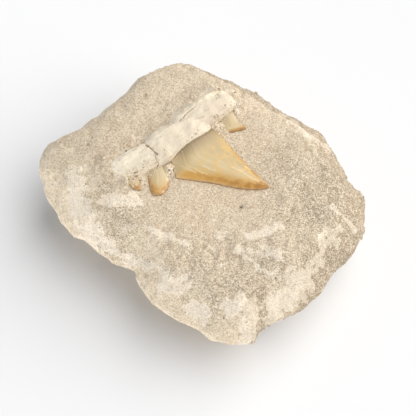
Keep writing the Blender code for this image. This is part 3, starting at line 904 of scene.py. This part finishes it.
def chalk_values(points, wandering):
    """How chalky the marked patches and veins make each point."""
    uneven = 1 + 0.9 * noise_at(points, 2.6, 61.0)
    chalk = np.max([
        strength * smooth_step((1.1 - distance_to_line(wandering, line) / (reach * uneven)) / 0.45)
        for line, reach, strength in CHALK
    ], axis=0)
    return chalk * smooth_step(points[:, 2], 10, 8)


def block_data(tooth_tree, random):
    """The block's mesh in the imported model's frame, in millimetres, and the values that colour it."""
    data = remeshed("sandy_matrix_block", block_form(), BLOCK_VOXEL)
    plan, normals = vectors_of(data, "co"), vectors_of(data, "normal")
    facing = normals[:, 2].copy()
    firm = smooth_step(plan[:, 2], 1.0, 3.0)[:, None]
    plan = plan + (with_facets(plan, normals, random) - plan) * firm
    move_points(data, plan)
    normals = vectors_of(data, "normal")
    points = plan - np.array((*BOX_MIDDLE, 0.0))
    above = smooth_step(plan[:, 2], 1.0, 4.0)
    from_neck = gap_from(plan, *TOOTH_PLACE.xy)
    calm = (1 - smooth_step(from_neck, CALM_REACH, CALM_FADE)) * (plan[:, 2] > RIM_HEIGHT)
    x, y, radius = PIT
    hole = smooth_step(1.6 - gap_from(points, x, y) / radius) * (plan[:, 2] > 20)
    relief = block_relief(plan, smooth_step(facing, 0.8, -0.4), calm, hole)
    raised = points + normals * (relief * above)[:, None]
    base = np.flatnonzero(plan[:, 2] < 0.5)
    hollows = HOLLOW_DEPTH * smooth_step(noise_at(plan[base], HOLLOW_SPACING, 3.0), 0.1, 0.5)
    raised[base, 2] += hollows * smooth_step(gap_from(plan[base], 0, 0), HOLLOW_LIMIT, -6)
    contact, dust = bed_tooth(raised, plan, from_neck, tooth_tree)
    move_points(data, raised)

    wandering = points[:, :2] + sum(plan_noise(points, *drift) for drift in MARK_DRIFTS)
    edge = smooth_step(facing, 0.985, -0.2)
    rightward = normals[:, 0] + 0.2 * normals[:, 1]
    values = {
        "chalk": np.maximum(chalk_values(points, wandering), dust),
        "grey": zone_values(wandering, GREY_ZONES),
        "warm": zone_values(wandering, WARM_ZONES),
        "dim_and_shade": zone_values(wandering, DIM_AND_SHADE_ZONES),
        # Painted light and shade: steep sides that face left are to be painted lighter, and those that face
        # right darker.
        "left_painted_light": smooth_step(rightward, 0.1, -0.3) * edge,
        "right_painted_shade": smooth_step(rightward, 0.02, 0.4) * edge,
        # Painted shade: darker where the relief sinks in.
        "hollow_shade": np.clip(-relief * 1.4, 0.0, 1.0) * above,
        "contact": contact,
        "pit_shade": hole,
    }
    add_values(data, values)
    return data, values


# ---- Grains and crumbs ----
GRAIN_COUNT = 24500
GRAIN_SIZE = (0.12, 0.3)  # half size
GRAIN_SMALLNESS = 2.2  # the greater, the more grains are small
GRAIN_RISE = (-0.6, 0.2)  # how far a grain's middle stands out, in its half sizes
GRAIN_FLOOR = 1.5  # no grains lie below this height
CRUMB_COUNT = 260
CRUMB_SIZE = (0.3, 0.75)
CRUMB_FLOOR = 16.0
CRUMB_TONES, HEAP_TONES, DARK_TONE = (0.35, 0.75), (0.3, 0.9), 0.01
HEAP_SIZES = (0.45, 1.15)  # times the heap's half size
LUMP_STRETCH, LUMP_JITTER = (0.7, 1.25), (0.78, 1.12)
# Heaps of crumbs beside the tooth, in its own frame: x, y, spread, count, half size.
CRUMB_HEAPS = (
    (11.9, 2.6, 1.5, 54, 0.5), (12.3, -0.2, 1, 18, 0.4), (-11.4, -1.6, 1.5, 46, 0.6),
    (-20.9, 0.6, 1, 22, 0.42), (-17, 13, 3.5, 120, 0.45), (-24.5, 13, 2.6, 80, 0.45),
    (-4, 13.4, 5, 90, 0.34), (8, 15.2, 5, 90, 0.34), (-27.5, 8, 2, 24, 0.3),
    (20.6, 1.2, 1.6, 16, 0.36), (-23.6, 2.8, 1.4, 30, 0.34), (19, 14, 3, 24, 0.36),
    (-23.5, 3.8, 1.6, 24, 0.34), (-27, 5.5, 1.6, 12, 0.3), (23.5, 9, 1.6, 16, 0.34),
    (-21.2, 0.4, 0.8, 18, 0.36),
)
# Crumbs that cling to the tooth's own edges, in the same way.
CLINGING_CRUMBS = (
    (-20.6, 3.2, 1.3, 46, 0.36), (-13.6, 2.4, 1, 20, 0.3), (-23.6, 3.4, 1.4, 40, 0.34),
    (-24.2, 0.9, 0.7, 10, 0.26), (12.2, 4.2, 1.3, 34, 0.34), (11.2, 1, 0.8, 12, 0.28),
    (20.6, 4.6, 1.1, 26, 0.34), (15, 4.6, 1.4, 16, 0.28), (-26.4, 8.4, 1.4, 14, 0.24),
    (-22, 12.4, 2.4, 50, 0.3), (-14, 11.9, 3, 44, 0.28), (-4, 12.1, 3, 36, 0.28),
    (8, 13.9, 3.4, 40, 0.28), (18, 13, 2.4, 30, 0.3), (22.6, 9.4, 1.2, 20, 0.32),
    (-9.8, 2.2, 1, 14, 0.28), (-17.2, 3.4, 1.2, 12, 0.26), (-24.5, 4.6, 1, 22, 0.26),
    (-22, 3.6, 1.2, 22, 0.26), (-18, 2.7, 1.2, 26, 0.26), (-15, 2.4, 1, 24, 0.26),
    (-16.4, 0.6, 1.2, 18, 0.22), (17, 4.4, 1.4, 18, 0.26), (-5.5, 1.9, 2, 10, 0.2),
)
# Small stones that stand out: x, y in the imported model's plan, half size, tone.
PEBBLES = ((-40.7, 5.2, 1.15, 0.78), (-5.9, -27.0, 1.0, 0.72), (-8.9, -26.6, 0.7, 0.7))
LOOK_DOWN_FROM = 80.0  # a height above everything


def surface_samples(data, count, keep, random):
    """count places on the mesh's faces, the normals and a vertex there. keep gives each face's weight."""
    data.calc_loop_triangles()
    corners = np.empty(len(data.loop_triangles) * 3, dtype=np.int32)
    data.loop_triangles.foreach_get("vertices", corners)
    corners = corners.reshape(-1, 3)
    triangles = vectors_of(data, "co")[corners]
    across = np.cross(triangles[:, 1] - triangles[:, 0], triangles[:, 2] - triangles[:, 0])
    area = np.linalg.norm(across, axis=1)
    weight = area * keep(triangles.mean(axis=1))
    chosen = random.choice(len(triangles), count, p=weight / weight.sum())
    u, v = random.random((2, count, 1))
    flip = (u + v) > 1
    u, v = np.where(flip, 1 - u, u), np.where(flip, 1 - v, v)
    t = triangles[chosen]
    places = t[:, 0] + u * (t[:, 1] - t[:, 0]) + v * (t[:, 2] - t[:, 0])
    return places, across[chosen] / area[chosen, None], corners[chosen, 0]


def values_at(values, vertices):
    """The block's colouring values at some of its vertices, for the lumps that lie there."""
    return {name: value[vertices] for name, value in values.items()}


def random_turns(count, random):
    """Random rotation matrices from random unit quaternions."""
    q = random.normal(size=(count, 4))
    q /= np.linalg.norm(q, axis=1)[:, None]
    w, x, y, z = q.T
    rows = (
        (1 - 2 * (y * y + z * z), 2 * (x * y - z * w), 2 * (x * z + y * w)),
        (2 * (x * y + z * w), 1 - 2 * (x * x + z * z), 2 * (y * z - x * w)),
        (2 * (x * z - y * w), 2 * (y * z + x * w), 1 - 2 * (x * x + y * y)),
    )
    return np.stack([np.stack(row, axis=1) for row in rows], axis=1)


def scattered(name, places, sizes, values, detail, random):
    """One mesh of many small angular lumps. detail 0 makes 8 faces of each, and 1 or more an icosphere.

    values gives each lump's own colouring values by name.
    """
    shape = bmesh.new()
    if detail == 0:
        top, bottom = shape.verts.new((0, 0, 1)), shape.verts.new((0, 0, -1))
        belt = [shape.verts.new((math.cos(a), math.sin(a), 0)) for a in np.arange(4) * math.pi / 2]
        for k in range(4):
            shape.faces.new((belt[k], belt[(k + 1) % 4], top))
            shape.faces.new((belt[(k + 1) % 4], belt[k], bottom))
    else:
        bmesh.ops.create_icosphere(shape, subdivisions=detail, radius=1.0)
    shape.verts.index_update()
    corners = np.array([vertex.co for vertex in shape.verts])
    faces = np.array([[vertex.index for vertex in face.verts] for face in shape.faces])
    shape.free()
    count = len(places)
    stretch = random.uniform(*LUMP_STRETCH, size=(count, 1, 3))
    jitter = random.uniform(*LUMP_JITTER, size=(count, len(corners), 1))
    lumps = corners[None] * stretch * jitter * np.asarray(sizes)[:, None, None]
    lumps = np.einsum("nij,nkj->nki", random_turns(count, random), lumps) + places[:, None]
    all_faces = faces[None] + (np.arange(count) * len(corners))[:, None, None]
    data = bpy.data.meshes.new(name)
    data.from_pydata(lumps.reshape(-1, 3).tolist(), [], all_faces.reshape(-1, 3).tolist())
    add_values(data, {key: np.repeat(np.asarray(value), len(corners)) for key, value in values.items()})
    return data


def grain_data(block, block_values, random):
    """Sand grains bedded all over the block's top and sides, with few of them under the tooth."""
    def keep(centres):
        local = to_tooth_frame(centres)
        under = (np.abs(local[:, 1] - 6) < 4) & (np.abs(local[:, 0]) < 22) & (centres[:, 2] > 25)
        return (centres[:, 2] > GRAIN_FLOOR) * np.where(under, 0.1, 1.0)

    places, normals, vertices = surface_samples(block, GRAIN_COUNT, keep, random)
    smallest, largest = GRAIN_SIZE
    sizes = smallest + (largest - smallest) * random.random(GRAIN_COUNT) ** GRAIN_SMALLNESS
    places = places + normals * (sizes * random.uniform(*GRAIN_RISE, GRAIN_COUNT))[:, None]
    values = values_at(block_values, vertices)
    values["tone"] = random.random(GRAIN_COUNT)
    return scattered("sand_grains", places, sizes, values, 0, random)


def heaped_crumbs(heaps, random):
    """Place in the plan, half size and tone of each crumb of the heaps."""
    crumbs = []
    for x, y, spread, count, size in heaps:
        dark_share = 0.07 if y < 6 else 0.01
        for _ in range(count):
            offset = random.normal(0, spread * 0.6, 2)
            place = from_tooth_frame(np.array([x + offset[0], y + offset[1], 0.0]))
            tone = DARK_TONE if random.random() < dark_share else random.uniform(*HEAP_TONES)
            crumbs.append((place[0], place[1], size * random.uniform(*HEAP_SIZES), tone))
    return crumbs


def crumb_data(block, block_values, tooth_tree, random):
    """Crumbs of matrix: a few all over, heaps in the corners beside the tooth, and small stones."""
    def keep(centres):
        return centres[:, 2] > CRUMB_FLOOR

    places, _, vertices = surface_samples(block, CRUMB_COUNT, keep, random)
    sizes = random.uniform(*CRUMB_SIZE, CRUMB_COUNT) * random.uniform(0.6, 1.0, CRUMB_COUNT)
    tones = random.uniform(*CRUMB_TONES, CRUMB_COUNT)
    places, sizes, tones, vertices = list(places), list(sizes), list(tones), list(vertices)
    block_tree = tree_of(block)
    heaps, clinging = heaped_crumbs(CRUMB_HEAPS, random), heaped_crumbs(CLINGING_CRUMBS, random)
    for crumbs, may_cling in ((heaps, False), (clinging, True), (PEBBLES, False)):
        for x, y, size, tone in crumbs:
            above = Vector((x, y, LOOK_DOWN_FROM))
            ground, _, face, _ = block_tree.ray_cast(above, Vector((0, 0, -1)))
            tooth = tooth_tree.ray_cast(above, Vector((0, 0, -1)))[0]
            if tooth is not None and tooth.z > ground.z - 0.2:
                if not may_cling:
                    continue
                ground = tooth
            places.append(np.array(ground) + np.array([0, 0, size * 0.15]))
            sizes.append(size)
            tones.append(tone)
            vertices.append(block.polygons[face].vertices[0])
    values = values_at(block_values, np.array(vertices))
    values["chalk"] = 0.5 * values["chalk"]
    values["tone"] = tones
    return scattered("matrix_crumbs", np.array(places), sizes, values, 1, random)


# ---- Materials ----
class Shader:
    """Short calls for building one material's nodes."""

    def __init__(self, name, roughness, specular=0.5):
        self.material = bpy.data.materials.new(name)
        self.material.use_nodes = True
        self.tree = self.material.node_tree
        self.surface = self.tree.nodes["Principled BSDF"]
        self.surface.inputs["Roughness"].default_value = roughness
        self.surface.inputs["Specular IOR Level"].default_value = specular
        # Textures are laid out in millimetres.
        place = self.add("ShaderNodeTexCoord").outputs["Object"]
        in_mm = self.add("ShaderNodeVectorMath", {0: place, "Scale": 1 / MM}, operation="SCALE")
        self.place = in_mm.outputs["Vector"]

    def add(self, kind, inputs=None, **settings):
        """A new node. An input is a value, another node's output, or the name of one of the mesh's values."""
        node = self.tree.nodes.new(kind)
        for key, value in settings.items():
            setattr(node, key, value)
        for key, value in (inputs or {}).items():
            value = self.attribute(value) if isinstance(value, str) else value
            if isinstance(value, bpy.types.NodeSocket):
                self.tree.links.new(value, node.inputs[key])
            else:
                node.inputs[key].default_value = value
        return node

    def attribute(self, name, output="Fac"):
        return self.add("ShaderNodeAttribute", attribute_name=name).outputs[output]

    def noise(self, size, detail=3.0, roughness=0.55, vector=None):
        """Noise whose largest features are about size millimetres."""
        inputs = {
            "Vector": vector or self.place, "Scale": 1 / size, "Detail": detail, "Roughness": roughness,
        }
        return self.add("ShaderNodeTexNoise", inputs).outputs["Fac"]

    def stretched(self, vector, x, y, z):
        """Texture places that are scaled along each axis, for streaks."""
        return self.add("ShaderNodeVectorMath", {0: vector, 1: (x, y, z)}, operation="MULTIPLY").outputs[0]

    def cells(self, size, output):
        return self.add("ShaderNodeTexVoronoi", {"Vector": self.place, "Scale": 1 / size}).outputs[output]

    def cell_tones(self, size):
        """One even random value for each cell."""
        return self.add("ShaderNodeSeparateColor", {0: self.cells(size, "Color")}).outputs[0]

    def between(self, value, low, high, start=0.0, end=1.0):
        """value's step from low to high, as start to end."""
        inputs = {"Value": value, "From Min": low, "From Max": high, "To Min": start, "To Max": end}
        return self.add("ShaderNodeMapRange", inputs, interpolation_type="SMOOTHSTEP").outputs[0]

    def calculate(self, operation, first, second):
        node = self.add("ShaderNodeMath", {0: first, 1: second}, operation=operation, use_clamp=True)
        return node.outputs[0]

    def times(self, first, second):
        return self.calculate("MULTIPLY", first, second)

    def plus(self, first, second):
        return self.calculate("ADD", first, second)

    def mix(self, share, first, second):
        return self.add("ShaderNodeMix", {0: share, 6: first, 7: second}, data_type="RGBA").outputs[2]

    def layers(self, tint, *layers):
        """tint under layers of (colour, share), or of (colour, value, low, high, start, end) for between."""
        for over, share, *step in layers:
            tint = self.mix(self.between(share, *step) if step else share, tint, over)
        return tint

    def bump(self, height, strength, depth, normal=None):
        """A normal from a height texture. depth is in millimetres."""
        inputs = {"Height": height, "Strength": strength, "Distance": depth * MM}
        if normal is not None:
            inputs["Normal"] = normal
        return self.add("ShaderNodeBump", inputs).outputs["Normal"]

    def set(self, name, value):
        self.tree.links.new(value, self.surface.inputs[name])


SAND = colour(212, 194, 168)
SAND_PALE = colour(222, 206, 181)
SAND_GREY = colour(193, 175, 149)
SAND_WARM = colour(217, 196, 168)
SAND_DIM_AND_SHADE = colour(162, 146, 123)
SAND_LEFT_LIGHT = colour(238, 220, 192)
CHALK_WHITE = colour(244, 231, 211)
CHALK_DULL = colour(219, 203, 180)
GRAIN_LIGHT = colour(246, 236, 216)
GRAIN_DARK = colour(138, 117, 92)
SPECK_BLACK = colour(70, 58, 46)
CONTACT_SHADOW_BROWN = colour(120, 92, 62)
GRAIN_LAYERS = ((0.42, 0.5), (0.28, 0.55))  # size of the grains in millimetres, and their contrast
SPECK_SIZE = 2.4


def matrix_tint(shader):
    """The matrix's colour: sandy, with greyer, warmer and chalky zones, and darker zones that are partly
    painted shade. Sides that face left are painted lighter and sides that face right are painted darker, as
    painted light and shade.
    """
    broad, blotches = shader.noise(16.0, 4.0), shader.noise(5.0, 5.0, 0.62)
    patchy = shader.between(blotches, 0.25, 0.6, 1.0, 0.5)
    tint = shader.layers(
        SAND,
        (SAND_PALE, blotches, 0.36, 0.64),
        # Painted light: sides that face left, away from the key light, are paler.
        (SAND_LEFT_LIGHT, shader.times("left_painted_light", 0.85)),
        (SAND_GREY, broad, 0.48, 0.68, 0.0, 0.4),
        (SAND_WARM, shader.times("warm", 0.75)),
        (SAND_GREY, shader.times("grey", patchy)),
        # Darker zones: partly browner stone, partly painted shade.
        (SAND_DIM_AND_SHADE, shader.times("dim_and_shade", 0.85)),
        # Painted shade: sides that face right, towards the key light, are darker.
        (SAND_DIM_AND_SHADE, shader.times("right_painted_shade", 0.85)),
    )

    # The marked chalk breaks up at its edges. The sides that face left have chalky patches of their own,
    # which also paint light onto those shaded sides.
    ragged = "chalk"
    for breaking in (blotches, shader.noise(1.6, 4.0, 0.65)):
        ragged = shader.plus(ragged, shader.between(breaking, 0.3, 0.7, -0.3, 0.26))
    marked = shader.times(shader.between(ragged, 0.36, 0.48), shader.between("chalk", 0.2, 0.9, 0.7, 1.0))
    own = shader.times(shader.between(shader.noise(9.0, 5.0, 0.65), 0.54, 0.7, 0.0, 0.7), "left_painted_light")
    scratches = shader.noise(1.0, 3.0, 0.6, shader.stretched(shader.place, 1.1, 0.14, 0.3))
    chalky = shader.layers(CHALK_WHITE, (CHALK_DULL, scratches, 0.5, 0.66, 0.0, 0.4))
    # Painted shade: sides that face right are darkened once more, over their chalk as well.
    shaded = shader.times("right_painted_shade", shader.between(marked, 0.0, 1.0, 0.55, 0.4))
    return shader.layers(tint, (chalky, shader.calculate("MAXIMUM", marked, own)), (SAND_DIM_AND_SHADE, shaded))


def matrix_material():
    shader = Shader("sandy_matrix_rock", 0.93, 0.2)
    tint = matrix_tint(shader)
    # Packed sand grains, lighter or darker than the matrix: most in the grey zones, least in the chalk.
    contrast = shader.between("chalk", 0.2, 0.7, 0.66, 0.46)
    contrast = shader.plus(contrast, shader.times("grey", 0.38))
    for size, strength in GRAIN_LAYERS:
        grain = shader.cell_tones(size)
        darker = shader.times(shader.between(grain, 0.45, 0.0, 0.0, strength), contrast)
        lighter = shader.times(shader.between(grain, 0.55, 1.0, 0.0, strength * 1.3), contrast)
        tint = shader.layers(tint, (GRAIN_DARK, darker), (GRAIN_LIGHT, lighter))
    speck = shader.between(shader.cells(SPECK_SIZE, "Distance"), 0.08, 0.14, 0.8, 0.0)
    few = shader.between(shader.cell_tones(SPECK_SIZE), 0.86, 0.88)
    # Painted shadow: a broken dark line on the matrix right against the tooth.
    line = shader.between("contact", 0.66, 0.98, 0.0, 0.6)
    broken = shader.between(shader.noise(0.6, 2.0), 0.46, 0.62)
    tint = shader.layers(
        tint,
        (SPECK_BLACK, shader.times(speck, few)),
        # Painted shade in the hollows of the relief.
        (GRAIN_DARK, shader.times("hollow_shade", 0.25)),
        (CONTACT_SHADOW_BROWN, shader.times(line, broken)),
        # Painted shade: the hole is black.
        (SPECK_BLACK, "pit_shade"),
    )
    shader.set("Base Color", tint)
    sandy = shader.bump(shader.cells(0.45, "Distance"), 0.6, 0.16)
    shader.set("Normal", shader.bump(shader.noise(0.4, 3.0, 0.75), 0.6, 0.16, sandy))
    return shader.material


def grain_material():
    """Quartz, shell and phosphate grains in and on the matrix: lighter or darker than it, and a few brown."""
    shader = Shader("sand_grain_mix", 0.7, 0.3)
    plain = shader.between("chalk", 0.2, 0.7, 1.0, 0.45)
    mottle = shader.noise(0.4, 2.0)
    tint = shader.layers(
        # The matrix's colour, with its painted light and shade on the sides.
        matrix_tint(shader),
        (GRAIN_DARK, shader.times(shader.between("tone", 0.42, 0.02, 0.0, 0.6), plain)),
        (SPECK_BLACK, "tone", 0.03, 0.0, 0.0, 0.6),
        (GRAIN_LIGHT, shader.times(shader.between("tone", 0.5, 1.0, 0.0, 0.75), plain)),
        (GRAIN_DARK, mottle, 0.35, 0.7, 0.0, 0.15),
    )
    shader.set("Base Color", tint)
    shader.set("Normal", shader.bump(shader.noise(0.2, 2.0), 0.3, 0.05))
    return shader.material


ROOT_CREAM = colour(239, 228, 206)
ROOT_LIGHT = colour(244, 234, 216)
ROOT_SHADE = colour(228, 214, 191)
ROOT_BACK_PAINTED_LIGHT = colour(248, 235, 208)
ROOT_GREY = colour(186, 172, 150)
ROOT_DULL_AND_SHADE = colour(216, 202, 181)
CRACK_BROWN = colour(132, 110, 82)
ENAMEL_PALE = colour(197, 174, 128)
ENAMEL_CREAM = colour(221, 204, 170)
ENAMEL_YELLOW = colour(218, 182, 112)
ENAMEL_AMBER = colour(205, 160, 87)
ENAMEL_DEEP = colour(162, 112, 50)
ENAMEL_RIGHT_SHADE = colour(180, 158, 116)
ENAMEL_EDGE = colour(146, 96, 46)
CUSPLET_PALE = colour(200, 184, 148)
NECK_GREY_AND_SHADE = colour(158, 138, 106)
ROOT_SHADOW_DARK = colour(120, 100, 70)
STREAK_WHITE = colour(236, 222, 190)
BONE_DUST = colour(242, 228, 203)
ENAMEL_DUST = colour(198, 180, 152)


def bone_tint(shader, own_place, fibre):
    """Cream bone with grey fibre lines and pitting. Painted light on the crests between its grooves and
    painted shade in the grooves; painted light along its back, which lies in shade. Duller to the right of
    the main crack, and duller still along its front and at its right end, where that is painted shade.
    """
    pitting = shader.noise(0.45, 3.0, 0.7)
    side, ahead, _ = shader.add("ShaderNodeSeparateXYZ", {0: own_place}).outputs
    return shader.layers(
        ROOT_CREAM,
        (ROOT_SHADE, shader.noise(4.0, 4.0, 0.6), 0.4, 0.7, 0.0, 0.4),
        # Painted light on the crests and painted shade in the grooves, over the bone's own grey lines.
        (ROOT_LIGHT, "groove", -0.1, -0.9, 0.0, 0.6),
        (ROOT_GREY, "groove", 0.25, 0.95, 0.0, 0.45),
        (ROOT_GREY, fibre, 0.54, 0.68, 0.0, 0.45),
        (ROOT_LIGHT, fibre, 0.44, 0.3, 0.0, 0.6),
        (ROOT_GREY, pitting, 0.58, 0.72, 0.0, 0.4),
        (ROOT_DULL_AND_SHADE, side, -13.6, -12.0, 0.0, 0.56),  # the piece to the left of the main crack is the palest
        # Painted shade along the front and at the right end, the faces that the lamps light most.
        (ROOT_DULL_AND_SHADE, ahead, 9.0, 6.0, 0.0, 0.4),
        (ROOT_DULL_AND_SHADE, side, 5.0, 12.0, 0.0, 0.8),
        # Painted light along the back, which lies in shade.
        (ROOT_BACK_PAINTED_LIGHT, ahead, 10.2, 12.2, 0.0, 0.65),
        (CRACK_BROWN, shader.times("crack", 0.8)),
    )


def enamel_tint(shader, striae, striae_place):
    """Enamel that turns from cream at the neck to amber at the cutting edges and the tip. It has painted
    shade towards each blade's right edge, which faces the key light, and at the neck, where the root's shadow
    is painted on.
    """
    broad, mottle = shader.noise(3.4, 3.0, 0.6, striae_place), shader.noise(2.2, 4.0, 0.65)
    golden = shader.times(shader.between(mottle, 0.4, 0.68), shader.between("along", 0.12, 0.45, 0.1, 0.8))
    amber = shader.plus("amber", shader.between(broad, 0.3, 0.7, -0.2, 0.2))
    depth = shader.plus(amber, shader.between(mottle, 0.35, 0.65, -0.22, 0.22))
    deep = shader.times(shader.between(depth, 0.6, 1.15), shader.between("along", 0.25, 0.95, 0.2, 1.0))
    cusplet_deep = shader.times("cusplet", shader.between(depth, 0.4, 1.0, 0.0, 0.6))
    neck_shade_streaks, shade = shader.between(striae, 0.35, 0.65, 1.0, 0.6), shader.between(striae, 0.4, 0.62, 0.95, 0.4)
    rim = shader.times("rim_line", shader.between("along", 0.15, 0.5, 0.0, 0.55))
    return shader.layers(
        ENAMEL_PALE,
        (ENAMEL_CREAM, striae, 0.38, 0.7, 0.0, 0.8),
        # Painted shade towards each blade's right edge, on the slope that faces the key light.
        (ENAMEL_RIGHT_SHADE, "across", 0.4, 0.85, 0.0, 0.85),
        (ENAMEL_YELLOW, golden),
        (CUSPLET_PALE, shader.times("cusplet", shader.between("along", 0.3, 0.75, 0.65, 0.2))),
        (STREAK_WHITE, shader.times("cusplet", shader.between(striae, 0.5, 0.68, 0.0, 0.5))),
        (ENAMEL_AMBER, amber, 0.0, 1.0),
        (ENAMEL_DEEP, shader.calculate("MAXIMUM", deep, cusplet_deep)),
        # The grey neck band, partly painted shade, and the painted shadow under the root.
        (NECK_GREY_AND_SHADE, shader.times("neck", neck_shade_streaks)),
        (ROOT_SHADOW_DARK, shader.times("root_shadow", shade)),
        (ENAMEL_EDGE, shader.times(rim, shader.between("cusplet", 0.0, 1.0, 1.0, 0.5))),
        (STREAK_WHITE, shader.times("streak", 0.5)),
    )


def tooth_material():
    """Chalky bone root and satin enamel, with dust of the matrix low down."""
    shader = Shader("fossil_tooth_bone_and_enamel", 0.5, 0.4)
    own_place, striae_place = shader.attribute("own_place", "Vector"), shader.attribute("striae", "Vector")
    fibre = shader.noise(0.8, 3.0, 0.65, shader.stretched(own_place, 0.13, 1.1, 1.1))
    striae = shader.noise(0.55, 4.0, 0.7, striae_place)
    ragged = shader.noise(0.9, 3.0, 0.7)
    border = shader.plus("enamel", shader.between(ragged, 0.2, 0.8, -0.3, 0.3))
    enamel = shader.between(border, 0.4, 0.6)
    dust = shader.times("low", shader.between(ragged, 0.35, 0.65, 0.0, 0.8))
    tint = shader.layers(
        bone_tint(shader, own_place, fibre),
        (enamel_tint(shader, striae, striae_place), enamel),
        (shader.mix(enamel, BONE_DUST, ENAMEL_DUST), dust),
    )
    shader.set("Base Color", tint)

    gloss = shader.between(striae, 0.3, 0.7, 0.34, 0.46)
    shader.set("Roughness", shader.add("ShaderNodeMix", {0: enamel, 2: 0.88, 3: gloss}).outputs[0])
    bone_bump = shader.bump(shader.noise(0.45, 3.0, 0.7), 0.4, 0.1)
    bone_bump = shader.bump(fibre, 0.6, 0.18, bone_bump)
    enamel_bump = shader.bump(striae, 0.2, 0.04)
    normal = shader.add("ShaderNodeMix", {0: enamel, 4: bone_bump, 5: enamel_bump}, data_type="VECTOR")
    shader.set("Normal", normal.outputs[1])
    return shader.material


def floor_material():
    shader = Shader("white_table", 0.9, 0.1)
    faint = shader.noise(60.0, 2.0)
    shader.set("Base Color", shader.mix(faint, colour(239, 240, 242), colour(241, 242, 244)))
    return shader.material


# ---- Putting it together ----
def finish_piece(data, material, smooth=True):
    """The mesh in metres with its material, as an object that rides on the block's body."""
    move_points(data, vectors_of(data, "co") * MM)
    data.materials.append(material)
    data.shade_smooth() if smooth else data.shade_flat()
    piece = new_object(data.name, data)
    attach(piece, "root")
    return piece


def make_stage():
    half = FLOOR_HALF
    corners = [(-half, -half, 0), (half, -half, 0), (half, half, 0), (-half, half, 0)]
    data = bpy.data.meshes.new("white_table_top")
    data.from_pydata(corners, [], [(0, 1, 2, 3)])
    data.materials.append(floor_material())
    new_object("white_table_top", data)


def make_lamp(name, tone, strength, spread, direction):
    lamp = bpy.data.lights.new(name, "SUN")
    lamp.color, lamp.energy, lamp.angle = tone, strength, math.radians(spread)
    new_object(name, lamp).rotation_euler = direction.to_track_quat("Z", "Y").to_euler()
    return lamp


def make_light():
    world = bpy.data.worlds.new("studio")
    bpy.context.scene.world = world
    world.use_nodes = True
    sky = world.node_tree.nodes["Background"]
    sky.inputs["Color"].default_value = SKY_COLOUR
    sky.inputs["Strength"].default_value = SKY_STRENGTH
    make_lamp("soft_key", KEY_COLOUR, KEY_STRENGTH, KEY_SPREAD, KEY_FROM)
    fill = make_lamp("low_fill", FILL_COLOUR, FILL_STRENGTH, FILL_SPREAD, FILL_FROM)
    fill.use_shadow = False


def make_camera():
    lens = bpy.data.cameras.new("camera")
    lens.lens = CAMERA_LENS
    lens.clip_start, lens.clip_end = 0.01, 10.0
    camera = new_object("camera", lens)
    lift = math.radians(CAMERA_ELEVATION)
    back = Vector((0.0, -math.cos(lift), math.sin(lift)))
    camera.location = (CAMERA_TARGET + back * CAMERA_DISTANCE) * MM
    camera.rotation_euler = back.to_track_quat("Z", "Y").to_euler()
    bpy.context.scene.camera = camera


def main():
    noise.seed_set(SEED)
    random = np.random.default_rng(SEED)
    bpy.context.scene.view_settings.view_transform = "Standard"
    make_camera()
    make_light()
    make_stage()

    tooth = tooth_data()
    move_points(tooth, from_tooth_frame(vectors_of(tooth, "co")))
    tooth_tree = tree_of(tooth)
    block, block_values = block_data(tooth_tree, random)
    grains = grain_data(block, block_values, random)
    crumbs = crumb_data(block, block_values, tooth_tree, random)

    stone = finish_piece(block, matrix_material())
    fossil = finish_piece(tooth, tooth_material())
    sand = grain_material()
    loose = [finish_piece(data, sand, smooth=False) for data in (grains, crumbs)]
    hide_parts("matrix_stone")
    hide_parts("shark_tooth")


main()
